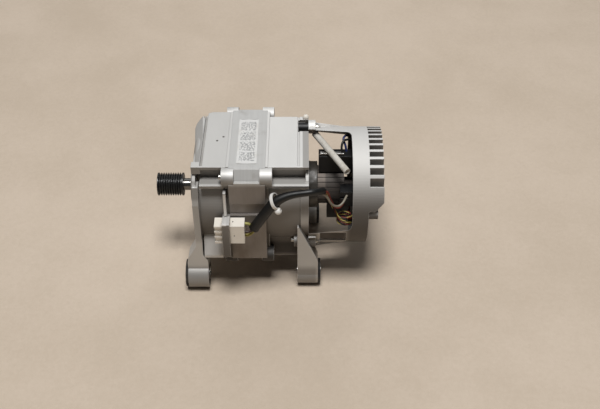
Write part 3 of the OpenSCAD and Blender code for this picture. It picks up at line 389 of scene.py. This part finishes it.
# Cable tie: a loose white nylon strap, 3 mm wide and serrated inside, pulled round the harness.
# Its round lock hangs below and has a blind hole in one end.
tie_at, band_r, tie_rise, lock_off = 6, 8, 1.1, 1.7
tie_lean, tie_turn, lock_turn = math.radians(9), math.radians(20), math.radians(40)
run = smooth(harness_route, 2)
along = carried(run)[0][tie_at]
level = np.cross((0, 0, 1), along)
level = level / np.linalg.norm(level)
below = np.cross(level, along)
leant = math.cos(tie_lean) * along + math.sin(tie_lean) * below
down = math.cos(tie_lean) * below - math.sin(tie_lean) * along
heading = math.cos(tie_turn) * leant - math.sin(tie_turn) * level
side = math.cos(tie_turn) * level + math.sin(tie_turn) * leant
centre = run[tie_at] - tie_rise * down


def band():
    """Strap: its section (out, across) carried round the centre, at a radius of band_r - 0.55 + out.
    The inside is cut 0.14 deeper where sin(48 a) is above 0."""
    half_thick, tooth, teeth = 0.55, 0.14, 48
    section = np.array([(0.55, 1.3), (0.35, 1.5), (-0.4, 1.5), (-0.55, 1.3),
        (-0.55, -1.3), (-0.4, -1.5), (0.35, -1.5), (0.55, -1.3)])
    out, across = section.T
    a = np.linspace(0, 2 * np.pi, 144, endpoint=False)[:, None]
    rise = band_r - half_thick + out - tooth * (out < 0) * (1 + np.sign(np.sin(teeth * a))) / 2
    strap = centre + (rise * np.cos(a))[..., None] * down + (rise * np.sin(a))[..., None] * side
    return strap + across[:, None] * heading


def moulded(name, colour, shadow, grime, rough):
    """Moulded plastic: fine spark grain, lighter rubbed edges, and grime that gathers in the corners."""
    place = surface(name)
    rounded, rubbed = place.edges(0.0005)
    cloud = place.noise(70, 4)
    fine = place.noise(900, 3)
    dirty = (place.hollows(0.005) * 1.3 + cloud * 0.5 - 0.3).step(0.1, 0.9)
    pale = tuple(min(255, c + 22) for c in colour)
    shade = coated(cloud.mix(shadow, colour), (dirty, grime), (rubbed * 0.5, pale))
    return place.finish(shade, rough + 0.2 * cloud - 0.1 * rubbed, fine, 0.00005, rounded)


white_plastic = moulded("white_plastic", (236, 234, 230), (216, 213, 208), (170, 162, 150), 0.35)
piece("tie_strap", band(), white_plastic, "white_plastic", replaced="cable_tie", closed=True, crease=35)


def spun(profile, sides):
    """Profile points (x, r) turned about X: (x, r cos a, r sin a)."""
    x, r = np.array(profile, float).T[..., None]
    a = np.linspace(0, 2 * np.pi, sides, endpoint=False)
    return np.stack([np.broadcast_to(x, (len(x), sides)), r * np.cos(a), r * np.sin(a)], axis=-1)


def placed(grid, origin, x_to, y_to):
    """The grid with its X and Y axes turned to the unit vectors x_to and y_to, from origin."""
    return np.array(origin) + grid @ np.array([x_to, y_to, np.cross(x_to, y_to)])


lock = [
    (-3.35, 0.3), (-3.15, 1.3), (-2.55, 2.3), (-1.45, 3.1), (0, 3.4), (1.45, 3.1), (2.55, 2.3),
    (3.05, 1.6), (3.05, 1.1), (2.1, 1), (2.1, 0.1),
]
lock_spot = centre + (band_r + lock_off) * (math.cos(lock_turn) * down - math.sin(lock_turn) * side)
piece("tie_lock", placed(spun(lock, 28), lock_spot, heading, side), white_plastic, "white_plastic", crease=40)

# Castings: pressure die-cast aluminium in three parts, as cast, dull with rubbed edges, and corners darkened
# by dirt and painted shade.
# The pulley-end and rear castings clamp the stack. The struts of the brush-end one are screwed to the rear.
# Painted shade darkens the pulley-end casting, walls and undersides (less on the legs), channel floors, rear
# mouth and strut pocket; strut rim and a rib get painted highlights.
place = surface("cast_alloy", Metallic=0.45)
rounded, rubbed = place.edges(0.0008)
flow = place.stretched(1, 0.35, 1).noise(22, 5, 0.6)
grain = place.noise(1300, 4, 0.6)
pores = place.noise(420, 2).step(0.68, 0.78)
dirty = (place.hollows(0.006) * 1.4 + place.noise(60, 5, 0.6) * 0.7 - 0.6).step(0.05, 0.95)
x, y, z = (place.axis(k) for k in range(3))
from_middle = abs(y)
from_shaft = place.stretched(0, 1, 1).vector("LENGTH", out="Value")
wall = 1 - place.upward()
pulley_end = x.fall(0.058, 0.066)
ring = x.step(0.153, 0.165)
skirt = x.fall(0.053, 0.054) * z.fall(-0.03, -0.022)
leg_runs = x.fall(0.048, 0.05) + x.step(0.122, 0.124) - x.step(0.152, 0.153)
legs = (from_middle.step(0.0545, 0.056) * leg_runs).math("MAXIMUM", skirt)
eyes = z.fall(-0.066, -0.056)
low_wall = wall * (1 - legs) * (1 - eyes) * (z - 0.03 * ring).fall(-0.035, 0.04)
lower_bosses = z.within((-0.056, -0.052), (-0.042, -0.034)) * (1 - legs)
before_split = x.fall(0.137, 0.1372)
channel_floor = abs(z - 0.041).fall(0.0008, 0.0015) * from_middle.fall(0.0485, 0.0505) * before_split
mouth = x.step(0.1308, 0.1318) * before_split * z.step(0.045, 0.05)
lower_strut = z.fall(-0.012, -0.008)
pocket = x.within((0.147, 0.148), (0.171, 0.172)) * from_shaft.within((0.0545, 0.055), (0.0563, 0.0569))
strut_rim = x.within((0.143, 0.147), (0.168, 0.178)) * from_shaft.step(0.0563, 0.0569)
rib = x.within((0.054, 0.0546), (0.0596, 0.0602)) * from_middle.step(0.0532, 0.0542)
rib = rib * z.within((0.0085, 0.0105), (0.034, 0.037))
ejector_spots = [(49.5, -3.2, 56.4), (55.2, 3, 56.4)]
ejector_places = [tuple(c / 1000 for c in spot) for spot in ejector_spots]
from_ejectors = [place.vector("DISTANCE", spot, out="Value") for spot in ejector_places]
shade = coated(
    flow.mix((216, 215, 212), (238, 236, 232)),
    # painted shade: the pulley-end casting darker than the rear one
    (pulley_end * 0.45, (184, 182, 178)),
    # painted shade on the walls, less on the legs and skirt, more on the ring
    (wall * (0.68 + 0.15 * ring - 0.3 * legs - 0.3 * skirt), (94, 87, 79)),
    # painted shade on the brush-end ring, to tone down its highlight
    (ring * 0.2, (172, 170, 166)),
    # painted shade low down by the feet
    (eyes * 0.55, (90, 83, 75)),
    # painted shade on the lower walls, darker towards the bottom
    (low_wall * 0.65, (58, 50, 41)),
    # painted shade on the lower bosses under the body
    (lower_bosses * 0.8, (46, 41, 36)),
    # hollows darker: dirt, and painted shade in grooves and corners
    (dirty * 0.75, (84, 72, 58)),
    # painted shade on the channel floors under the overhanging panels
    (channel_floor * (0.5 + 0.4 * flow), (152, 148, 142)),
    # painted shade on the band at the rear edge of the rear casting's top
    (mouth * 0.6, (120, 115, 108)),
    # painted shade in the pocket of the lower strut
    (pocket * lower_strut * 0.7, (58, 51, 44)),
    # painted highlight on the rim of the lower strut
    (strut_rim * lower_strut * 0.7, (196, 191, 184)),
    # painted highlight on the rib beside the plug bracket
    (rib * 0.8, (232, 230, 226)),
    (rubbed * 0.65, (236, 235, 232)),
    *((away.fall(0.0008, 0.0014) * 0.8, (70, 62, 54)) for away in from_ejectors),
)
roughness = 0.54 + 0.12 * flow + 0.14 * dirty - 0.08 * rubbed + 0.12 * ring
cast_alloy = place.finish(shade, roughness, grain - pores * 0.5, 0.00007, rounded)


def dress(material, *names):
    """Gives CAD nodes a material."""
    for name in names:
        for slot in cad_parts[name].material_slots:
            slot.material = material


dress(cast_alloy, "front_shield", "rear_shell", "brush_shield")

ejector = [(0, 0.05), (0.2, 0.9), (0.45, 0.85), (0.6, 0.5), (0.62, 0.1)]
for k, spot in enumerate(ejector_spots):
    mark = placed(spun(ejector, 20), spot, (0, 0, 1), (1, 0, 0))
    piece(f"panel_mark_{k + 1}", mark, cast_alloy, "cast_alloy")

# Stack: half-millimetre steel sheets, punched and varnished, rubbed bright at the edges, with painted shade
# on its sides below the top.
# Four long bolts clamp it between the castings. The rotor's stack is made of the same sheet.
place = surface("lamination", Metallic=0.35)
sheets = place.stretched(2600, 14, 14).noise(1, 2)
stain = place.stretched(1, 1, 0.5).noise(45, 6, 0.65)
rounded, rubbed = place.edges(0.0004)
# painted shade: the sides of the stack darker than its top, from 42 to 50 mm down
side_shade = place.axis(2).fall(0.042, 0.05) * (0.6 + 0.3 * stain)
shade = coated(
    sheets.mix((188, 187, 184), (208, 207, 204)),
    (stain.step(0.5, 0.8) * 0.4, (112, 97, 80)),
    (side_shade, (98, 84, 72)),
    (rubbed * 0.5, (205, 204, 200)),
)
dress(place.finish(shade, 0.38 + 0.2 * stain, sheets, 0.00003, rounded), "stator_stack", "rotor_stack")

# Field coils: enamelled copper wire, wound in a flat bundle, bent round the shaft and dipped in varnish.
# One sits on each of the two poles of the stack.
place = surface("copper_winding", Metallic=0.55, Coat_Weight=0.4, Coat_Roughness=0.25)
mottle = place.noise(240, 4)
burnt = place.hollows(0.006).step(0.3, 0.95)
shade = coated(mottle.mix((150, 78, 42), (196, 112, 66)), (burnt, (58, 32, 22)))
copper_winding = place.finish(shade, 0.32 + 0.2 * mottle, mottle, 0.00003)


def coil(side):
    """A bundle, across 0 to 1 from its inner to its outer outline and out 0 to 1 from its inner to its outer
    radius, carried round a rounded rectangle in x and z and bent by y = side sqrt(radius^2 - z^2).
    Its four faces are ribbed by the wires, 0.35 |cos(7.5 pi f)| for f from 0 to 1 along each face."""
    middle, inner_r, deep, wide, rib, square = 79.5, 37.3, 9.4, 9, 0.35, 0.4
    outlines = ((17.4, 18.4), (25.9, 27.9))
    a = np.linspace(0, 2 * np.pi, 160, endpoint=False)
    c, s = (np.sign(wave) * np.abs(wave) ** square for wave in (np.cos(a), np.sin(a)))
    rim = np.linspace(0, 1, 60, endpoint=False) * 4
    face, f = rim.astype(int), rim % 1
    across = np.select([face == 0, face == 1, face == 2], [f, 1 + 0 * f, 1 - f], 0)
    out = np.select([face == 0, face == 1, face == 2], [0 * f, f, 1 + 0 * f], 1 - f)
    wire = rib * np.abs(np.cos(7.5 * np.pi * f)) - rib
    radius = inner_r + deep * out + wire * (face == 2) - wire * (face == 0)
    share = across + (wire * (face == 1) - wire * (face == 3)) / wide
    inner, outer = (np.stack([middle + half_x * c, half_z * s], axis=-1) for half_x, half_z in outlines)
    spot = inner[:, None] + (outer - inner)[:, None] * share[None, :, None]
    x, z = spot[..., 0], spot[..., 1]
    return np.stack([x, side * np.sqrt(radius**2 - z**2), z], axis=-1)


for side, name in ((-1, "front"), (1, "rear")):
    piece("field_winding_" + name, coil(side), copper_winding, "copper_winding",
        replaced="field_coil_" + name, closed=True, crease=60)

# Label: stiff paper, 19 by 70 mm, stuck on the top of the stack, soiled and a little curled at its corners.
# It carries four blocks of small specks of ink.
label_x, label_y, label_z, half_wide, half_long = 78.9, -4.5, 57, 9.5, 35
place = surface("paper")
x, y = place.axis(0), place.axis(1)
across, down_it = abs(x - label_x / 1000), abs(y - label_y / 1000)
cell = place.stretched(1250, 800, 0).vector("FLOOR")
speck = cell.node("TexWhiteNoise", {"noise_dimensions": "2D"}, {"Vector": cell}).step(0.5, 0.52)
block_rows = (y - label_y / 1000).math("PINGPONG", 0.008).step(0.0008, 0.001)
blocks = block_rows * across.fall(0.0072, 0.0074) * down_it.fall(0.0325, 0.0327)
crumple = place.noise(140, 4)
soil = place.noise(55, 6, 0.65).step(0.48, 0.8)
ink = speck * blocks * (0.35 + 0.4 * crumple)
shade = coated(soil.mix((216, 215, 212), (196, 192, 184)), (ink, (92, 93, 96)))
paper = place.finish(shade, 0.42 + 0.2 * soil, crumple, 0.0002)


def label_sheet():
    """A flat section, 0.18 thick, carried along y. Its top is raised by ripples, 0.05 sin(0.5 x + 0.21 y),
    and by the curl, 0.35 (|v| / half_long)^10 (|u| / half_wide)^6, with u and v from the label's middle."""
    thick = 0.18
    along = label_y + np.linspace(-half_long, half_long, 71)[:, None]
    top = [(w, thick) for w in np.linspace(8, -8, 13)]
    section = [(-half_wide, 0.02), (half_wide, 0.02), (half_wide, 0.1), (half_wide - 0.1, thick), *top,
        (0.1 - half_wide, thick), (-half_wide, 0.1)]
    off, height = np.array(section).T
    x, y = np.broadcast_arrays(label_x + off, along)
    curl = (np.abs(along - label_y) / half_long) ** 10 * (np.abs(off) / half_wide) ** 6
    lift = (height > 0.05) * (0.05 * np.sin(0.5 * x + 0.21 * y) + 0.35 * curl)
    return np.stack([x, y, label_z + height + lift], axis=-1)


piece("label_sheet", label_sheet(), paper, "paper", replaced="label", crease=30)


# Bolts and spacers: four long zinc-plated bolts through stack and castings, and the screws of the brush end.
# Black plastic spacers sit under the screws that hold its struts.
def metal(name, colour, stained, rough, turned=False):
    """Plain metal: drifting tarnish, bright edges, and lathe marks along the shaft where it is turned."""
    place = surface(name, Metallic=1.0)
    rounded, rubbed = place.edges(0.0003)
    tarnish = place.noise(150, 5, 0.6)
    marks = place.stretched(1, 0, 0).noise(3800, 2) if turned else place.noise(1800, 2)
    dirty = (place.hollows(0.004) + tarnish * 0.6 - 0.35).step(0.1, 0.9)
    bright = tuple(min(255, c + 18) for c in colour)
    shade = coated((dirty * 0.75).mix(colour, stained), (rubbed * 0.6, bright))
    return place.finish(shade, rough + 0.22 * tarnish, marks, 0.00005 if turned else 0.00002, rounded)


zinc_steel = metal("zinc_steel", (186, 184, 178), (112, 104, 92), 0.28)
dress(zinc_steel, "clamp_bolts", "clamp_washers", "strut_screws", "brush_holder_screws")
black_plastic = moulded("black_plastic", (20, 20, 21), (10, 10, 11), (38, 35, 31), 0.4)
dress(black_plastic, "strut_spacers")

# Feet: a moulded rubber bush in each of the four eyes, round a steel sleeve that takes the mounting bolt.
# The bush is pushed in from outside and its flange covers the rim of the eye.
place = surface("rubber", Specular_IOR_Level=0.35)
bloom = place.noise(120, 5, 0.65)
pits = place.noise(2200, 2)
rounded, rubbed = place.edges(0.0006)
shade = coated(bloom.step(0.4, 0.8).mix((36, 35, 34), (78, 73, 66)), (rubbed * 0.35, (104, 98, 90)))
rubber = place.finish(shade, 0.62 + 0.25 * bloom, pits, 0.00006, rounded)
dress(rubber, "foot_bushes_front", "foot_bushes_rear")
bright_steel = metal("bright_steel", (206, 205, 202), (140, 132, 122), 0.16, turned=True)
dress(bright_steel, "foot_sleeves")

# Shaft: ground steel, bright outside and painted dark from the front bearing on, as painted shade inside the
# motor.
# A retaining ring and a wave washer of spring steel hold it and preload its bearings.
dress(bright_steel, "retaining_ring", "wave_washer")
place = surface("shaft_steel", Metallic=0.9)
# painted shade: the shaft dark from 30 to 50 mm on, inside the motor
dust = (place.axis(0) + place.noise(120, 4) * 0.01).step(0.03, 0.05)
marks = place.stretched(1, 0, 0).noise(3800, 2)
shade = coated(marks.mix((108, 106, 102), (130, 128, 124)), (dust, (48, 44, 41)))
dress(place.finish(shade, 0.16 + 0.1 * marks + 0.4 * dust, marks, 0.00004, place.edges(0.0003)[0]), "shaft")

# Pulley: turned steel with ten belt grooves, blackened all over and rubbed grey on its crests.
# It is pressed on the end of the shaft.
place = surface("pulley_black", Metallic=0.1, Specular_IOR_Level=0.8)
rounded, rubbed = place.edges(0.0005)
scuff = place.stretched(0.4, 1, 1).noise(420, 5, 0.65)
lathe = place.stretched(1, 0, 0).noise(3000, 2)
shade = coated(scuff.step(0.5, 0.85).mix((6, 6, 6), (26, 25, 24)), (rubbed * 0.6, (96, 95, 93)))
dress(place.finish(shade, 0.2 + 0.25 * scuff, lathe, 0.00004, rounded), "pulley")


# Armature: enamelled copper wire laid through the slots of the rotor, its end turns dipped in varnish.
# Ivory discs keep it off the stack. Towards the commutator the end turns are black with soot, with painted
# light on their lower side.
def winding(profile, strands, lean):
    """End turns: a profile (x, r, depth) turned about X, a round the shaft. With b = a + lean x, r is less by
    depth (0.6 |sin(strands b / 2)| + 0.25 + 0.25 cos(12 b)) between the wires and between twelve bundles."""
    x, r, depth = np.array(profile, float).T[..., None]
    a = np.linspace(0, 2 * np.pi, 360, endpoint=False)
    b = a + lean * x
    wires = np.abs(np.sin(strands * b / 2))
    bundle = 0.5 + 0.5 * np.cos(12 * b)
    r = r - depth * (0.6 * wires + 0.5 * bundle)
    return np.stack([np.broadcast_to(x, r.shape), r * np.cos(a), r * np.sin(a)], axis=-1)


front_turns = [
    (49.5, 9, 0), (49.5, 16, 0), (49.6, 20, 1), (50.1, 23.5, 1), (51.1, 26.4, 1), (52.7, 28.4, 1),
    (54.5, 29.3, 1), (57, 29.4, 1), (59.5, 29.4, 1), (60.8, 29.3, 0.4), (61.3, 29, 0), (61.3, 9, 0),
]
rear_turns = [
    (97.7, 9, 0), (97.7, 29, 0), (98.2, 29.3, 0.4), (100, 29.4, 1), (103, 29.4, 1), (105.5, 29.3, 1),
    (107.2, 28, 1), (108.8, 25.6, 1), (111, 24.2, 1), *((x, 23.5, 1) for x in np.linspace(114, 138, 25)),
    (140, 23.4, 0.8), (143, 23.4, 0.7), (145.5, 23.4, 0.5), (146, 23, 0), (146, 9, 0),
]
place = surface("end_turns", Metallic=0.3, Coat_Weight=0.35, Coat_Roughness=0.3)
mottle = place.noise(260, 4)
soot = (place.axis(0) + mottle * 0.02).step(0.115, 0.145)
copper, sooty = mottle.mix((104, 56, 34), (142, 82, 50)), mottle.mix((40, 38, 34), (74, 68, 60))
# painted light: the sooty end turns paler below the shaft
painted_light_below = soot * place.axis(2).fall(-0.006, 0.004)
shade = coated(soot.mix(copper, sooty), (painted_light_below * 0.8, (166, 152, 134)))
varnished = place.finish(shade, 0.4 + 0.25 * mottle, mottle, 0.00003)
for name, profile, lean in (("front", front_turns, 0.05), ("rear", rear_turns, 0.03)):
    piece("end_turns_" + name, winding(profile, 120, lean), varnished, "copper_winding", "rotor",
        "armature_winding")
ivory = moulded("insulation", (206, 194, 164), (180, 164, 130), (110, 92, 66), 0.5)
dress(ivory, "rotor_end_discs")

# Commutator: copper bars moulded into a brown bakelite hub that is pressed on the shaft.
# The brushes have worn a dark track with fine lines round the bars.
bakelite = moulded("bakelite", (74, 46, 30), (52, 32, 22), (36, 26, 20), 0.35)
dress(bakelite, "commutator_hub")
place = surface("commutator_copper", Metallic=0.35)
track = place.axis(0).step(0.1525, 0.155)
lines = place.stretched(1, 0, 0).noise(2600, 3)
glaze = place.noise(300, 4)
shade = coated(glaze.mix((102, 94, 88), (126, 116, 107)), (track * (0.45 + 0.5 * lines), (50, 46, 43)))
commutator_copper = place.finish(shade, 0.46 + 0.3 * lines, lines, 0.00006, place.edges(0.0002)[0])
dress(commutator_copper, "commutator_bars")

# Bearings and speed sensor: two steel ball bearings, one pressed into the hub of each end casting.
# Behind the rear one a magnet on the tail of the shaft turns in the sensor's coil, under a black cap.
bearing_steel = metal("bearing_steel", (196, 196, 196), (120, 110, 96), 0.14)
for end in ("front", "rear"):
    dress(bearing_steel, *(f"{end}_bearing_{part}" for part in ("outer", "inner", "balls")))
magnet = moulded("magnet", (70, 68, 68), (48, 47, 47), (40, 36, 32), 0.5)
dress(magnet, "tacho_magnet")
dress(ivory, "tacho_coil")
dress(black_plastic, "tacho_cap")

# Brush gear: black moulded holders above and below the commutator, screwed to the brush-end casting.
# Each guides a carbon brush, and the lower one is coloured pale grey as painted light where it sits in shade.
# A black block in front takes the leads.
dress(black_plastic, "brush_holder_top", "brush_caps", "terminal_block")
# painted light: the lower holder's black plastic coloured pale grey
black_with_painted_light = moulded("black_with_painted_light", (118, 110, 100), (86, 80, 73), (58, 53, 48), 0.6)
dress(black_with_painted_light, "brush_holder_bottom")
place = surface("carbon", Metallic=0.15)
dust = place.noise(700, 5, 0.7)
shade = dust.mix((34, 34, 36), (70, 69, 70))
carbon = place.finish(shade, 0.5 + 0.3 * dust, dust, 0.00008, place.edges(0.0003)[0])
dress(carbon, "carbon_brush_top", "carbon_brush_bottom")

# Terminal strip: tinned steel strip along the top of the upper holder, bent down over the holder's end.
# It is pushed into the holder and carries the current to the upper brush.
strip_y, strip_z = -2.5, 41.2
strip_bend = [(147.3, strip_y, 39.7), (148.2, strip_y, 40.9), (150, strip_y, strip_z)]
strip_run = smooth(strip_bend + [(160, strip_y, strip_z), (171.3, strip_y, strip_z)], 6)
strip_edge = np.array([(1.8, 0.25), (1.65, 0.4), (-1.65, 0.4), (-1.8, 0.25),
    (-1.8, -0.25), (-1.65, -0.4), (1.65, -0.4), (1.8, -0.25)])
t, n, b = carried(strip_run)
strip = strip_run[:, None] + strip_edge[:, :1] * n[:, None] + strip_edge[:, 1:] * b[:, None]
tin = metal("contact_tin", (226, 225, 222), (170, 164, 154), 0.2)
piece("terminal_strip", strip, tin, "bright_steel", replaced="brush_terminal", crease=35)

# Brush springs: wound from steel wire, four turns, between the cap of each holder and its brush.
# The lower holder sits 5 mm nearer to the ring than the upper one.
spring_x, spring_r, spring_turns, spring_foot, spring_long, cap_z = 160, 2.05, 4, 32.55, 6.2, 39.1
a = np.linspace(0, 2 * np.pi * spring_turns, 193)
climb = spring_foot + spring_long * a / a[-1]
helix = np.stack([spring_x + spring_r * np.cos(a), spring_r * np.sin(a), climb], axis=-1)
for name, joint, turn, shift in (("top", "brush_top_slide", 1, 0), ("bottom", "brush_bottom_slide", -1, 5)):
    wire = tube(helix * (1, 1, turn) + (shift, 0, 0), 0.35, 12)
    spring = piece("spring_" + name, wire, bright_steel, "bright_steel", replaced="brush_spring_" + name)
    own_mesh(spring)

# Plug: a cream nylon housing that is clipped into the bracket of the pulley-end casting.
# It holds brass contacts in two rows.
cream_plastic = moulded("cream_plastic", (246, 240, 229), (228, 220, 207), (128, 114, 96), 0.38)
dress(cream_plastic, "plug_housing")
brass = metal("contact_brass", (206, 172, 98), (128, 100, 56), 0.2)
dress(brass, "plug_pins")

# Cable clip: a small cream nylon button with a round head, turned about its stem.
# It is pressed into the edge of the rear casting.
button = [
    (-2.95, 0.2), (-2.9, 1.2), (-2.2, 2.1), (-1.2, 2.5), (-0.9, 2.95), (-0.2, 3), (0.3, 2.95),
    (1.3, 2.65), (2.2, 2.0), (2.8, 1.1), (3.0, 0.35), (2.7, 0.3), (2.6, 0.05),
]
upright = placed(spun(button, 32), (134.6, 34.5, 57.1), (0, 0, 1), (1, 0, 0))
piece("clip_button", upright, cream_plastic, "cream_plastic", replaced="cable_clip", crease=50)

# Floor and light: a plain pale floor under the feet, with faint clouds and specks.
# One soft light stands overhead and a weak one behind, under a dim even sky.
floor_z, reach = cad_box[0][2], 3
mesh = bpy.data.meshes.new("floor")
corners = [(x * reach, y * reach, floor_z) for x, y in ((-1, -1), (1, -1), (1, 1), (-1, 1))]
mesh.from_pydata(corners, [], [(0, 1, 2, 3)])
place = surface("floor", Specular_IOR_Level=0.2)
cloud = place.noise(6, 5, 0.6)
speck = place.noise(240, 4, 0.6)
shade = (cloud * 0.7 + speck * 0.3).step(0.3, 0.7).mix((198, 182, 163), (210, 194, 176))
mesh.materials.append(place.finish(shade, 0.75 + 0.15 * cloud, speck, 0.0004))
floor = bpy.data.objects.new("floor", mesh)
bpy.context.scene.collection.objects.link(floor)


def softbox(name, size, energy, spot):
    """A square area light at spot that faces the motor."""
    motor = mathutils.Vector((0.11, 0, 0))
    lamp = bpy.data.objects.new(name, bpy.data.lights.new(name, "AREA"))
    lamp.data.size = size
    lamp.data.energy = energy
    lamp.location = spot
    lamp.rotation_euler = (mathutils.Vector(spot) - motor).to_track_quat("Z", "Y").to_euler()
    bpy.context.scene.collection.objects.link(lamp)


softbox("overhead", 1, 92, (0.1, -0.7, 3.1))
softbox("behind", 1.1, 3, (0.16, 1.05, 0.9))
world = bpy.data.worlds.new("sky")
world.use_nodes = True
sky = world.node_tree.nodes["Background"].inputs
sky["Color"].default_value = (0.95, 0.97, 1, 1)
sky["Strength"].default_value = 0.06
bpy.context.scene.world = world
bpy.context.scene.view_settings.view_transform = "Standard"
